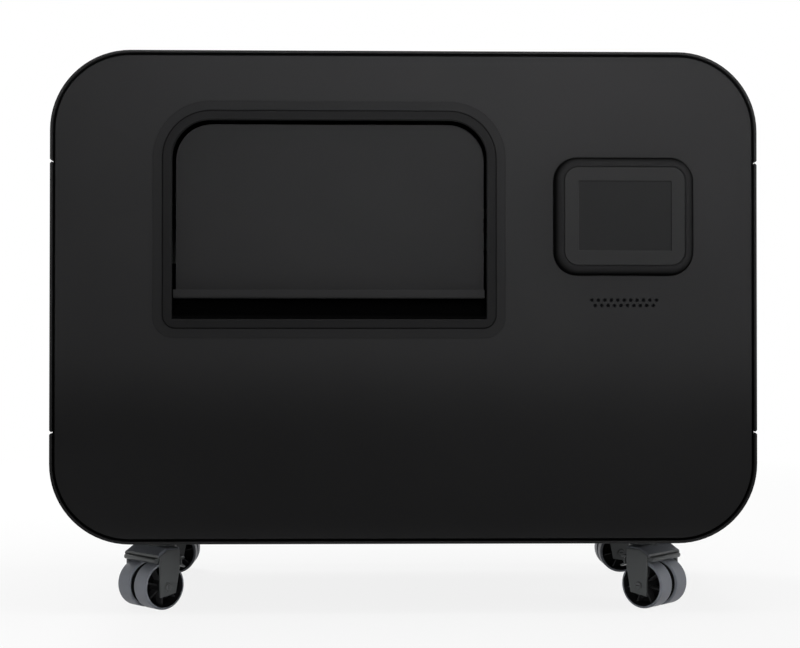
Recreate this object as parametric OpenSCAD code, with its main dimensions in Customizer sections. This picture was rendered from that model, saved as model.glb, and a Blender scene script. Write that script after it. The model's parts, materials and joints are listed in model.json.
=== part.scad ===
// Braille embosser on casters: a rounded cabinet with a hinged lid and a paper door,
// a touch panel, and a fanfold paper drive with a travelling embossing head inside.
// Lengths are in millimetres. +X is to the right seen from the front, +Y to the rear, +Z up.
// The origin is on the floor under the middle of the part.

/* [Cabinet] */
// Width of the cabinet
body_w = 884; // [860:1:940]
// Height of the cabinet without its casters
body_h = 616; // [596:1:660]
// Depth of the cabinet from front edge to rear edge
body_d = 470; // [450:1:520]
// Radius of the four long corners
corner_r = 100; // [88:1:108]
// Thickness of the wrapped covers
wrap_t = 3; // [2:0.5:4]
// Height of the upper seam above the middle, and of the lower seam below it
seam_z = 169; // [155:1:185]
// Gap between two covers at a seam
seam_gap = 1.2; // [0.8:0.1:2]
// Size of the bevel along each side of a seam
seam_bevel = 2; // [1:0.1:2.4]
// Inset of the front and rear panels from the cabinet's outline
panel_inset = 6.5; // [5.5:0.5:8]
// Depth of the panels behind the cabinet's front and rear edges
panel_recess = 1.5; // [1:0.5:3]
// Thickness of the front and rear panels
panel_t = 4; // [3:0.5:6]
// Thickness of the hoop frames across the outline
hoop_t = 10; // [9:0.5:14]
// Depth of the hoop frames
hoop_d = 20; // [14:1:26]
// Gap between the covers and the hoop frames
hoop_gap = 0.3; // [0.2:0.1:0.5]
// Thickness of the base plate
base_t = 4; // [3:0.5:6]
// Height of the base plate's turned-up edges
base_edge_h = 24; // [16:1:34]

/* [Paper window] */
// Middle of the window across the front, from the cabinet's middle
window_x = -94; // [-104:1:-84]
// Width of the window opening
window_w = 393; // [380:1:400]
// Height of the window opening
window_h = 248.5; // [236:0.5:256]
// Height of the window's sill above the cabinet's middle
window_sill = -27.5; // [-36:0.5:-22]
// Radius of the window's top corners
window_r = 48; // [42:1:54]
// Radius of the window's bottom corners
sill_r = 1.5; // [1:0.5:3]
// Wall of the trim where it lines the panel's cut-out
trim_wall = 2.5; // [2:0.1:3]
// Width of the trim's raised bead
trim_bead = 11; // [9:0.5:13]
// Width of the trim's flat outer flange
trim_flange = 13; // [10:0.5:15]
// Height of the bead above the panel
bead_h = 2.5; // [2:0.1:3.5]
// Thickness of the outer flange
flange_t = 1.2; // [1:0.1:1.6]
// Width of the groove between bead and flange
groove_w = 1.2; // [0.8:0.1:2]
// Depth of that groove
groove_d = 0.7; // [0.4:0.1:0.8]
// Corner radius of the bead at the sill
bead_foot_r = 16; // [12:1:18]
// Corner radius of the flange at the sill
flange_foot_r = 27; // [22:1:30]

/* [Paper door] */
// Gap between the door and the window opening
door_gap = 2; // [1.5:0.1:3]
// Depth of the door's face behind the cabinet's front edge
door_recess = 28; // [26:0.5:32]
// Thickness of the door
door_t = 3; // [2:0.5:4]
// Height of the paper exit under the door
exit_h = 26; // [22:1:30]
// Reach of the pull lip in front of the door
lip_reach = 19; // [14:0.5:20]
// Height of the pull lip
lip_h = 11; // [9:0.5:14]
// Thickness of the pull lip
lip_t = 3; // [2.5:0.1:4]
// Extra length of the lip at its left end
lip_ear = 1.2; // [0.5:0.1:1.4]
// Distance of each door hinge from the window's middle
door_hinge_x = 127; // [110:1:140]
// Height of the door's hinge axis above the window opening
door_axis_rise = 8.5; // [8:0.1:10]
// Depth of the door's hinge axis behind the front panel
door_axis_back = 8; // [7.5:0.1:9]
// Width of each hinge strap
strap_w = 24; // [18:1:30]
// Thickness of each hinge strap
strap_t = 3; // [2:0.5:4]
// Length of each strap down the door's back
strap_l = 36; // [28:1:50]
// Radius of the door's hinge pins
door_pin_r = 2; // [1.5:0.1:2.5]
// Radius of the door's hinge barrels
door_barrel_r = 4.5; // [4:0.1:5]

/* [Touch panel] */
// Distance of the touch panel's middle from the cabinet's right side
screen_side = 168; // [160:1:176]
// Middle of the touch panel above the cabinet's middle
screen_z = 101; // [96:1:110]
// Width of the bezel
bezel_w = 175; // [168:0.5:184]
// Height of the bezel
bezel_h = 147; // [142:0.5:154]
// Corner radius of the bezel
bezel_r = 29.5; // [26:0.5:34]
// Reach of the bezel in front of the cabinet's front edge
bezel_proud = 12; // [9:0.5:14]
// Width of the bezel's rounded rim
bezel_rim = 11.2; // [9:0.1:12]
// Gap between the bezel and the front panel
bezel_gap = 0.7; // [0.4:0.1:1]
// Width of the bezel's fixing flange behind the panel
bezel_flange = 7; // [5:0.5:8]
// Thickness of that flange
bezel_flange_t = 2.5; // [2:0.5:4]
// Thickness of the glass
glass_t = 3; // [2:0.5:4]
// Width of the display module
display_w = 124; // [118:1:128]
// Height of the display module
display_h = 96; // [90:1:100]
// Depth of the display module
display_d = 9; // [7:0.5:12]

/* [Speaker] */
// Distance of the speaker holes' middle from the cabinet's right side
grille_side = 167; // [158:1:176]
// Height of the speaker holes' middle above the cabinet's middle
grille_z = -7; // [-12:0.5:-4]
// Holes in the upper row
grille_holes = 11; // [9:1:12]
// Distance from hole to hole
grille_pitch = 8.1; // [7:0.1:9]
// Distance from row to row
grille_row = 6.8; // [6:0.1:8]
// Radius of a speaker hole
grille_r = 2.2; // [1.5:0.1:2.6]
// Height of the speaker
speaker_h = 32; // [24:1:34]
// Depth of the speaker
speaker_d = 18; // [12:1:26]

/* [Lid] */
// Distance of each lid hinge from the middle
lid_hinge_x = 250; // [200:1:300]
// Depth of the lid's hinge axis under the top
lid_axis_drop = 22; // [20:0.5:26]
// Radius of the lid's hinge barrels
lid_barrel_r = 5; // [4:0.1:6]
// Radius of the lid's hinge pins
lid_pin_r = 2.5; // [2:0.1:3]
// Thickness of the hinge leaves
leaf_t = 2.5; // [2:0.1:3]
// Length of the middle knuckle
knuckle_w = 26; // [20:1:34]
// Length of each outer knuckle
outer_knuckle_w = 16; // [12:1:20]
// Height of the fixed leaf
leaf_h = 40; // [30:1:50]
// Thickness of the lid's rear flange
lid_flange_t = 3; // [2:0.5:3.5]

/* [Casters] */
// Height of the cabinet's underside above the floor
caster_h = 88; // [86:1:96]
// Distance of each caster from the cabinet's side
caster_side = 130; // [128:1:152]
// Distance of each caster from the cabinet's front or rear edge
caster_inset = 75; // [64:1:100]
// Swing of the front casters from straight ahead, in degrees
front_yaw = 48; // [20:1:70]
// Swing of the rear casters from straight ahead, in degrees
rear_yaw = 90; // [60:1:100]
// Radius of the wheels
wheel_r = 30; // [28:0.5:31]
// Width of one wheel
wheel_w = 26; // [22:0.5:28]
// Gap between the two wheels of a caster
wheel_gap = 10; // [6:0.5:12]
// Rounding of the tread's edges
tread_r = 3.5; // [2:0.1:4.5]
// Thickness of the tread
tread_t = 5; // [5:0.1:6]
// Radius of the wheel's hub
hub_r = 8.5; // [7.5:0.1:10]
// Thickness of a wheel's spokes
spoke_t = 1.8; // [1.4:0.1:3]
// Spokes of a wheel
spokes = 7; // [5:1:9]
// Radius of the axles
axle_r = 4; // [3.5:0.1:4.5]
// Radius of the axle heads
axle_head_r = 5.5; // [5:0.1:6.5]
// Distance of the wheel axle in front of the swivel axis
caster_trail = 16; // [12:0.5:18]
// Thickness of the fork's top plate
fork_t = 4; // [3:0.5:5]
// Thickness of the fork's legs
leg_t = 3; // [2.5:0.1:4]
// Side of the square mounting plates
mount_plate = 60; // [54:1:64]
// Thickness of the mounting plates
mount_plate_t = 3; // [2:0.5:4]
// Radius of the swivel raceway
race_r = 17; // [15:0.5:22]
// Height of the swivel raceway
race_h = 6; // [5:0.5:8]
// Radius of the swivel pin
king_r = 4; // [3.5:0.1:5]

/* [Paper drive] */
// Margin between the window opening and a side plate of the mechanism
mech_margin = 33; // [30:0.5:36]
// Thickness of the side plates
side_plate_t = 5; // [4:0.5:6]
// Height of the paper's path above the cabinet's middle
paper_rise = 52; // [48:1:58]
// Distance of each tractor from the window's middle
tractor_x = 140; // [130:1:146]
// Width of a tractor
tractor_w = 34; // [32:1:38]
// Pins on a pin wheel
pin_count = 12; // [11:1:13]
// Pitch of the paper's edge holes
pin_pitch = 12.7; // [12.5:0.1:12.9]
// Radius of a feed pin
feed_pin_r = 2; // [1.5:0.1:2.2]
// Width of a pin wheel
pin_wheel_w = 14; // [12:0.5:16]
// Side of the square drive shaft
shaft_side = 12; // [10:0.5:13]
// Radius of the drive shaft's journals
journal_r = 5; // [4:0.1:5.5]
// Radius of the tractors' guide rod
guide_r = 7; // [6:0.1:8]
// Distance of the guide rod in front of the drive shaft
guide_ahead = 62; // [58:1:66]
// Radius of the drive shaft's pulley
feed_pulley_r = 19; // [16:0.5:22]
// Radius of the feed motor's pulley
motor_pulley_r = 9.5; // [8:0.5:11]
// Distance of the feed motor below the drive shaft
feed_drop = 95; // [90:1:105]
// Width of the belts
belt_w = 8; // [6:0.5:10]
// Thickness of the belts
belt_t = 1.5; // [1.2:0.1:2]

/* [Embossing head] */
// Height of the rails above the cabinet's middle
rail_rise = 110; // [106:1:124]
// Radius of the rails
rail_r = 8; // [7:0.1:9]
// Distance of each rail from the head's middle
rail_half = 30; // [28:0.5:32]
// Distance of the head behind the cabinet's middle
head_back = 60; // [56:1:64]
// Width of the carriage
carriage_w = 64; // [56:1:72]
// Height of the carriage
carriage_h = 44; // [40:1:48]
// Distance of each carriage pulley from the window's middle
pulley_x = 200; // [190:1:201]
// Radius of the carriage pulleys
pulley_r = 11; // [10:0.5:12]
// Radius of an embossing pin
dot_pin_r = 0.8; // [0.6:0.05:0.9]
// Pitch of the embossing pins
dot_pitch = 2.5; // [2.3:0.1:2.8]
// Radius of a solenoid
solenoid_r = 9; // [8:0.5:9.5]
// Height of a solenoid
solenoid_h = 40; // [30:1:48]
// Width of the anvil bar
anvil_w = 30; // [26:1:36]
// Height of the anvil bar
anvil_h = 31; // [24:1:36]
// Side of the square stepper motors
motor_w = 56; // [50:0.5:57]
// Length of the stepper motors
motor_l = 56; // [46:1:60]

/* [Electrics] */
// Width of the power supply
supply_w = 150; // [120:1:154]
// Depth of the power supply
supply_d = 110; // [90:1:120]
// Height of the power supply
supply_h = 50; // [40:1:60]
// Depth of the controller board
board_d = 130; // [110:1:150]
// Height of the board's standoffs
standoff_h = 10; // [6:1:16]
// Distance of the power inlet's middle from the cabinet's right side
inlet_side = 192; // [172:1:212]
// Height of the power inlet above the cabinet's underside
inlet_rise = 70; // [60:1:90]
// Ventilation slots in the rear panel
vent_count = 12; // [8:1:14]

/* [Hidden] */
$fn = 72;

// Fits, as radial clearances
running_fit = 0.05;
seat_fit = 0.02;
// Clearance of trims, boards and bodies in their cut-outs
cut_fit = 0.3;
// How far a cutting body runs past the face it cuts
past = 1;

// Colours
shell_colour = [0.10, 0.10, 0.11];
trim_colour = [0.06, 0.06, 0.065];
glass_colour = [0.07, 0.08, 0.09];
caster_colour = [0.17, 0.18, 0.20];
steel_colour = [0.62, 0.63, 0.65];
zinc_colour = [0.74, 0.74, 0.72];
motor_colour = [0.16, 0.16, 0.17];
rubber_colour = [0.08, 0.08, 0.08];
tractor_colour = [0.24, 0.26, 0.29];
board_colour = [0.06, 0.28, 0.14];

// Main levels and faces
base_z = caster_h;
mid_z = base_z + body_h / 2;
top_z = base_z + body_h;
hinge_reach = 2 * lid_barrel_r - panel_recess;
centre_y = (bezel_proud - hinge_reach) / 2;
front_y = centre_y - body_d / 2;
rear_y = centre_y + body_d / 2;
panel_front = front_y + panel_recess;
panel_back = panel_front + panel_t;
rear_face = rear_y - panel_recess;
rear_inside = rear_face - panel_t;

// Hoop frames and base plate
hoop_inset = wrap_t + hoop_gap;
front_hoop = [panel_back, panel_back + hoop_d];
rear_hoop = [rear_inside - hoop_d, rear_inside];
base_gap = 0.5;
base_side_gap = 6;
base_half = body_w / 2 - corner_r - base_side_gap;
base_y = [front_hoop[1] + base_gap, rear_hoop[0] - base_gap];
base_floor = base_z + wrap_t;
base_top = base_floor + base_t;

// Panel screws on the hoop frame
screw_r = 1.6;
screw_head_r = 3;
screw_head_h = 2.2;
screw_l = 12;
screw_inset = (panel_inset + hoop_inset + hoop_t) / 2;
screw_side_z = 110;
screw_foot_x = 200;
screw_places = concat(
    [for (sx = [-1, 1], sz = [-1, 1]) [sx * (body_w / 2 - screw_inset), mid_z + sz * screw_side_z]],
    [for (sx = [-1, 1]) [sx * screw_foot_x, base_z + screw_inset]]
);

// Lid hinge
lid_axis_y = rear_face + lid_barrel_r;
lid_axis_z = top_z - lid_axis_drop;
lid_flange_gap = 1;
lid_flange_margin = 12;
lid_flange_play = 2;
lid_flange_half = body_w / 2 - corner_r - lid_flange_margin;
strap_drop = 3;
strap_rise = lid_axis_drop - wrap_t - strap_drop;
knuckle_gap = 0.3;

// Paper door and its hinge
door_w = window_w - 2 * door_gap;
door_y = front_y + door_recess;
door_back = door_y + door_t;
door_foot = mid_z + window_sill + exit_h;
door_h = window_h - exit_h - door_gap;
window_top = mid_z + window_sill + window_h;
door_axis_y = panel_back + door_axis_back;
door_axis_z = window_top + door_axis_rise;
bracket_t = 2;
bracket_h = 20;
ear_t = 5;
ear_gap = 0.4;

// Touch panel
screen_x = body_w / 2 - screen_side;
bezel_steps = 8;
slice_t = 0.02;
glass_gap = 0.3;
rim_land = 0.8;
glass_inset = bezel_rim + rim_land;
glass_face = front_y - bezel_proud;
glass_back = glass_face + glass_t;
display_gap = 1;
bezel_fn = 32;

// Speaker behind the holes
grille_x = body_w / 2 - grille_side;
speaker_margin = 4;
speaker_frame_t = 2;
magnet_half = 30;

// Casters
caster_x = body_w / 2 - caster_side;
swivel_gap = 0.2;
fork_top = base_z - mount_plate_t - race_h - swivel_gap;
fork_under = fork_top - fork_t;
king_head_r = 7;
king_head_h = 2.5;
king_gap = 0.3;
hub_gap = 0.2;
web_at = 4;
web_t = 3.6;
spoke_inset = 6;
spoke_sink = 0.5;
wheel_play = 4;
leg_in = wheel_gap / 2 + wheel_w + wheel_play;
leg_out = leg_in + leg_t;
leg_ahead = 12;
leg_behind = 18;
foot_behind = 12;
foot_below = 13;
foot_slant = 4;
shoulder_above = 22;
leg_front = caster_trail + leg_ahead;
leg_rear = caster_trail - leg_behind;
leg_foot_rear = caster_trail - foot_behind;
leg_foot = wheel_r - foot_below;
leg_shoulder = wheel_r + shoulder_above;
race_rim = 2;
hood_ahead = 2.5;
hood_tip = leg_front + hood_ahead;
hood_drop = 8.3;
hood_lip = 3;
hood_slope = hood_drop / (hood_tip - race_r);
axle_head_t = 1.8;
axle_head_gap = 0.1;

// Brake lever over the wheels
lever_t = 2.5;
lever_gap = 3.5;
lever_z = 2 * wheel_r + lever_gap;
lever_play = 1.8;
lever_half = leg_in - lever_play;
pivot_behind = 10;
lever_pivot_u = caster_trail - pivot_behind;
lever_pivot_z = lever_z + lever_t / 2;
lever_pin_r = 2;
lever_boss_r = 2.6;
lever_behind = 12.5;
slope_ahead = 11;
pedal_r = 3.3;
pedal_ahead = 3;
pedal_u = leg_front + pedal_ahead;
pedal_z = lever_z;
pedal_half_t = 1.5;
pedal_play = 4;
tail_half = 28;
tail_t = 2.5;
tail_drop = 8;
tail_kick = 5.5;
tail_kick_drop = 3;
tail_end_t = 2;

// Mechanism
mech_half = window_w / 2 + mech_margin;
plate_left = [window_x - mech_half - side_plate_t, window_x - mech_half];
plate_right = [window_x + mech_half, window_x + mech_half + side_plate_t];
between = [plate_left[1], plate_right[0]];
plate_ahead = 140;
plate_behind = 150;
plate_front = centre_y - plate_ahead;
plate_rear = centre_y + plate_behind;
plate_slope_run = 110;
plate_nose_rise = 24;
plate_top_rise = 32;
paper_z = mid_z + paper_rise;
paper_play = 1;
pin_wheel_pitch_r = pin_count * pin_pitch / (2 * PI);
pin_root = 0.8;
pin_tip = 4.2;
pin_sink = 3;
pin_wheel_r = pin_wheel_pitch_r - pin_root;
pin_reach = pin_wheel_pitch_r + pin_tip;
shaft_ahead = 20;
shaft_y = centre_y - shaft_ahead;
shaft_z = paper_z - pin_wheel_pitch_r;
shaft_play = 0.12;
shaft_over = 3;
guide_y = shaft_y - guide_ahead;
guide_rise = 2;
guide_z = shaft_z + guide_rise;
rail_z = mid_z + rail_rise;
head_y = centre_y + head_back;
plate_top = rail_z + plate_top_rise;

// Feed drive outside the right side plate
pulley_flange = 1;
pulley_play = 0.5;
pulley_lip = 0.6;
pulley_gap = 2;
belt_play = 0.1;
belt_steps = 24;
feed_x = [plate_right[1] + pulley_gap,
          plate_right[1] + pulley_gap + belt_w + 2 * (pulley_flange + pulley_play)];
feed_belt_x = [feed_x[0] + pulley_flange + pulley_play, feed_x[1] - pulley_flange - pulley_play];
feed_z = shaft_z - feed_drop;
motor_shaft_r = 4;
motor_shaft_in = 14;
pilot_r = 12;

// Paper chute
chute_t = 2;
chute_gap = 4;
mouth_rise = 3;
mouth_back = 3;

// Tractors
tractor_half = tractor_w / 2;
tractor_ahead = 14;
tractor_behind = 36;
tractor_below = 14;
tractor_y = [guide_y - tractor_ahead, shaft_y + tractor_behind];
tractor_z = [shaft_z - tractor_below, paper_z - paper_play];
wheel_slot = 1.2;
tractor_pin_r = 1.5;
tractor_barrel_r = 3;
tractor_axis_out = 4;
tractor_ear_t = 5;
tractor_ear_y = 30;
tractor_ear_drop = 8;
tractor_axis_z = paper_z - paper_play;
flap_t = 2.6;
flap_rise = 2.4;
flap_z = paper_z + flap_rise;
flap_arm_half = 2;
flap_inset = 2;
flap_slot_play = 2;
flap_slot_share = 0.6;

// Carriage drive
carriage_ahead = 15;
carriage_behind = 12;
carriage_y = [head_y - rail_half - carriage_ahead, head_y + rail_half + carriage_behind];
carriage_z = [rail_z - carriage_h / 2, rail_z + carriage_h / 2];
belt_y = [carriage_y[1] + pulley_gap, carriage_y[1] + pulley_gap + belt_w];
pulley_y = [belt_y[0] - pulley_flange - pulley_play, belt_y[1] + pulley_flange + pulley_play];
beam_gap = 4;
beam_t = 5;
beam_y = [pulley_y[1] + beam_gap, pulley_y[1] + beam_gap + beam_t];
beam_half_h = 30;
belt_low = rail_z - pulley_r - belt_play - belt_t / 2;
clamp_half = 15;
clamp_wall = 4;
clamp_end = 3;
nose_half = 12;
nose_rise = 3;
solenoid_pitch = 21;
dot_pin_play = 0.1;
dot_pin_rise = 1.8;
dot_pin_inset = 2;
dot_places = [
    for (col = [-0.5, 0.5], row = [-1, 0, 1]) [window_x + col * dot_pitch, head_y + row * dot_pitch]
];

// Electrics
supply_gap = 16;
supply_behind = 10;
supply_x = [plate_right[1] + supply_gap, plate_right[1] + supply_gap + supply_w];
supply_y = [centre_y + supply_behind, centre_y + supply_behind + supply_d];
terminals_x = [12, 72];
terminals_d = 14;
terminals_h = 18;
board_ahead = 30;
board_y = [centre_y - board_ahead - board_d, centre_y - board_ahead];
board_t = 1.6;
board_edge = 6;
standoff_r = 3;
chip_side = 26;
chip_h = 3;
chip_pitch = 38;
chip_at = [24, 40];
inlet_x = body_w / 2 - inlet_side;
inlet_z = base_z + inlet_rise;
inlet_w = 48;
inlet_h = 27;
inlet_d = 30;
inlet_lip = 4;
inlet_lip_t = 2;
socket_side = 11;
socket_x = inlet_x - socket_side;
socket_w = 22.5;
socket_h = 17;
socket_d = 18;
blade_half = [1, 2.5];
blade_back = 4;
blade_places = [[-6.5, -3], [0, 3], [6.5, -3]];
rocker_side = 13.5;
rocker_x = inlet_x + rocker_side;
rocker_w = 12.4;
rocker_h = 17.6;
rocker_tilt = 10;
rocker_sink = 3;
rocker_axis_y = rear_face - rocker_sink;
rocker_crown = 5;
rocker_waist = 4;
rocker_foot = 4;
rocker_cell_w = 13.4;
rocker_cell_h = 20;
rocker_cell_d = 14;
rocker_pin_r = 1.5;
rocker_pin_in = 1.4;
rocker_pin_bore = 2;
vent_x = 210;
vent_pitch = 11;
vent_w = 4.5;
vent_h = 70;
rear_slot_margin = 6;
rear_slot_half_h = 9;

// Plain shapes between two limits on each axis
module span(x, y, z) {
    translate([x[0], y[0], z[0]]) cube([x[1] - x[0], y[1] - y[0], z[1] - z[0]]);
}

module rod_x(x, y, z, r) {
    translate([x[0], y, z]) rotate([0, 90, 0]) cylinder(r = r, h = x[1] - x[0]);
}

module rod_y(x, y, z, r) {
    translate([x, y[0], z]) rotate([-90, 0, 0]) cylinder(r = r, h = y[1] - y[0]);
}

module rod_z(x, y, z, r) {
    translate([x, y, z[0]]) cylinder(r = r, h = z[1] - z[0]);
}

// A flat outline in X and Z, given depth along Y
module slab_y(y) {
    translate([0, y[1], 0]) rotate([90, 0, 0]) linear_extrude(y[1] - y[0]) children();
}

// A flat outline in Y and Z, given width along X
module slab_x(x) {
    translate([x[0], 0, 0]) rotate([90, 0, 90]) linear_extrude(x[1] - x[0]) children();
}

module rounded_rect(w, h, r) {
    square([w - 2 * r, h], center = true);
    square([w, h - 2 * r], center = true);
    for (sx = [-1, 1], sz = [-1, 1])
        translate([sx * (w / 2 - r), sz * (h / 2 - r)]) circle(r);
}

// A rectangle on its foot, with one radius at the top and another at the foot
module arched_rect(w, h, top_r, foot_r) {
    translate([-w / 2 + top_r, 0]) square([w - 2 * top_r, h]);
    translate([-w / 2, foot_r]) square([w, h - foot_r - top_r]);
    translate([-w / 2 + foot_r, 0]) square([w - 2 * foot_r, h - top_r]);
    for (s = [-1, 1]) {
        translate([s * (w / 2 - top_r), h - top_r]) circle(top_r);
        translate([s * (w / 2 - foot_r), foot_r]) circle(foot_r);
    }
}

// The line of a belt round two pulleys: an arc on each, joined by the two tangents
function arc_points(centre, r, from, turn) =
    [for (i = [0 : belt_steps]) let (t = from + turn * i / belt_steps) centre + r * [cos(t), sin(t)]];

function belt_points(a, b, ra, rb) =
    let (along = atan2(b[1] - a[1], b[0] - a[0]), tangent = acos((ra - rb) / norm(b - a)))
    concat(arc_points(a, ra, along + tangent, 360 - 2 * tangent),
           arc_points(b, rb, along - tangent, 2 * tangent));

module belt_loop(a, b, ra, rb) {
    difference() {
        polygon(belt_points(a, b, ra + belt_play + belt_t, rb + belt_play + belt_t));
        polygon(belt_points(a, b, ra + belt_play, rb + belt_play));
    }
}

// The cabinet's outline, drawn in by an inset
module outline(inset) {
    translate([0, mid_z]) rounded_rect(body_w - 2 * inset, body_h - 2 * inset, corner_r - inset);
}

module seam_cut(z) {
    reach = seam_bevel + seam_gap / 2;
    side = reach * sqrt(2);
    span([-body_w, body_w], [front_y - past, rear_y + past], [z - seam_gap / 2, z + seam_gap / 2]);
    for (s = [-1, 1])
        translate([s * body_w / 2, front_y - past, z]) rotate([0, 45, 0])
            translate([-side / 2, 0, -side / 2]) cube([side, body_d + 2 * past, side]);
}

// A stretch of the wrap between two heights and two sides
module wrap(x, z) {
    difference() {
        intersection() {
            slab_y([front_y, rear_y]) difference() {
                outline(0);
                outline(wrap_t);
            }
            span(x, [front_y - past, rear_y + past], z);
        }
        for (s = [-1, 1]) seam_cut(mid_z + s * seam_z);
    }
}

// Covers
module top_cover() {
    color(shell_colour) {
        wrap([-body_w, body_w], [mid_z + seam_z, top_z + past]);
        span([-lid_flange_half, lid_flange_half], [rear_face - lid_flange_t, rear_face],
             [lid_axis_z + lid_flange_gap, top_z - wrap_t / 2]);
    }
}

module left_side_cover() {
    color(shell_colour) wrap([-body_w, 0], [mid_z - seam_z, mid_z + seam_z]);
}

module right_side_cover() {
    color(shell_colour) wrap([0, body_w], [mid_z - seam_z, mid_z + seam_z]);
}

module bottom_cover() {
    color(shell_colour) wrap([-body_w, body_w], [base_z - past, mid_z - seam_z]);
}

// The window's outline, grown all round
module window_shape(grow, foot_r) {
    translate([window_x, mid_z + window_sill - grow])
        arched_rect(window_w + 2 * grow, window_h + 2 * grow, window_r + grow, foot_r);
}

module touch_shape(grow) {
    translate([screen_x, mid_z + screen_z])
        rounded_rect(bezel_w + 2 * grow, bezel_h + 2 * grow, bezel_r + grow);
}

module grille() {
    for (row = [0, 1], i = [0 : grille_holes - 1 - row])
        translate([grille_x + (i - (grille_holes - 1 - row) / 2) * grille_pitch,
                   mid_z + grille_z + (0.5 - row) * grille_row]) circle(grille_r);
}

module front_panel() {
    color(shell_colour) slab_y([panel_front, panel_back]) difference() {
        outline(panel_inset);
        window_shape(trim_wall + cut_fit, sill_r + trim_wall + cut_fit);
        touch_shape(bezel_gap);
        grille();
    }
}

module rear_panel() {
    color(shell_colour) difference() {
        slab_y([rear_face - panel_t, rear_face]) outline(panel_inset);
        span([-lid_flange_half - lid_flange_play, lid_flange_half + lid_flange_play],
             [rear_inside - past, rear_face + past], [lid_axis_z - lid_flange_gap, top_z]);
        span([window_x - window_w / 2 + rear_slot_margin, window_x + window_w / 2 - rear_slot_margin],
             [rear_inside - past, rear_face + past],
             [paper_z - rear_slot_half_h, paper_z + rear_slot_half_h]);
        span([inlet_x - inlet_w / 2 - cut_fit, inlet_x + inlet_w / 2 + cut_fit],
             [rear_inside - past, rear_face + past],
             [inlet_z - inlet_h / 2 - cut_fit, inlet_z + inlet_h / 2 + cut_fit]);
        for (i = [0 : vent_count - 1])
            translate([vent_x + i * vent_pitch, 0, 0])
                span([-vent_w / 2, vent_w / 2], [rear_inside - past, rear_face + past],
                     [mid_z - vent_h / 2, mid_z + vent_h / 2]);
        for (p = screw_places)
            rod_y(p[0], [rear_inside - past, rear_face + past], p[1], screw_r + running_fit);
    }
}

module cabinet_hoops() {
    color(steel_colour) difference() {
        for (y = [front_hoop, rear_hoop])
            slab_y(y) difference() {
                outline(hoop_inset);
                outline(hoop_inset + hoop_t);
            }
        for (p = screw_places)
            rod_y(p[0], [rear_face - screw_l - past, rear_face], p[1], screw_r + seat_fit);
    }
}

module panel_screws() {
    color(zinc_colour) for (p = screw_places) {
        rod_y(p[0], [rear_face - screw_l, rear_face + past], p[1], screw_r);
        rod_y(p[0], [rear_face, rear_face + screw_head_h], p[1], screw_head_r);
    }
}

module base_chassis() {
    color(steel_colour) {
        span([-base_half, base_half], base_y, [base_floor, base_top]);
        for (y = [[base_y[0], base_y[0] + base_t], [base_y[1] - base_t, base_y[1]]])
            span([-base_half, base_half], y, [base_floor, base_floor + base_edge_h]);
    }
}

// Window trim, door and door hinges
module window_trim() {
    color(trim_colour) difference() {
        union() {
            slab_y([panel_front - flange_t, panel_front])
                window_shape(trim_bead + trim_flange, flange_foot_r);
            slab_y([panel_front - bead_h, panel_front]) window_shape(trim_bead, bead_foot_r);
            slab_y([panel_front - bead_h, panel_back]) window_shape(trim_wall, sill_r + trim_wall);
        }
        slab_y([panel_front - bead_h - past, panel_back + past]) window_shape(0, sill_r);
        slab_y([panel_front - flange_t - past, panel_front - flange_t + groove_d]) difference() {
            window_shape(trim_bead + groove_w, bead_foot_r + groove_w);
            window_shape(trim_bead, bead_foot_r);
        }
    }
}

module paper_door() {
    lip_y = door_y - lip_reach;
    color(shell_colour) {
        slab_y([door_y, door_back]) translate([window_x, door_foot])
            arched_rect(door_w, door_h, window_r - door_gap, sill_r);
        slab_x([window_x - door_w / 2 - lip_ear, window_x + door_w / 2]) {
            translate([lip_y, door_foot + lip_t]) square([lip_t, lip_h - lip_t]);
            translate([lip_y + lip_t, door_foot]) square([door_back - lip_y - lip_t, lip_t]);
            intersection() {
                translate([lip_y + lip_t, door_foot + lip_t]) circle(lip_t);
                translate([lip_y, door_foot]) square(lip_t);
            }
        }
    }
}

module door_hinge_straps() {
    color(steel_colour) for (s = [-1, 1]) {
        x = window_x + s * door_hinge_x;
        limits = [x - strap_w / 2, x + strap_w / 2];
        difference() {
            union() {
                span(limits, [door_back, door_back + strap_t],
                     [window_top - door_gap - strap_l, door_axis_z + strap_t / 2]);
                span(limits, [door_axis_y, door_back + strap_t],
                     [door_axis_z - strap_t / 2, door_axis_z + strap_t / 2]);
                rod_x(limits, door_axis_y, door_axis_z, door_barrel_r);
            }
            rod_x([limits[0] - past, limits[1] + past], door_axis_y, door_axis_z, door_pin_r + running_fit);
        }
    }
}

module door_hinge_brackets() {
    color(steel_colour) for (s = [-1, 1]) {
        x = window_x + s * door_hinge_x;
        ear = strap_w / 2 + ear_gap;
        span([x - ear - ear_t, x + ear + ear_t], [panel_back, panel_back + bracket_t],
             [door_axis_z - door_barrel_r, door_axis_z - door_barrel_r + bracket_h]);
        rod_x([x - ear - ear_t, x + ear + ear_t], door_axis_y, door_axis_z, door_pin_r);
        for (side = [-1, 1]) {
            cheek = side < 0 ? [x - ear - ear_t, x - ear] : [x + ear, x + ear + ear_t];
            rod_x(cheek, door_axis_y, door_axis_z, door_barrel_r);
            span(cheek, [panel_back, door_axis_y],
                 [door_axis_z - door_barrel_r, door_axis_z + door_barrel_r]);
        }
    }
}

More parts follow.
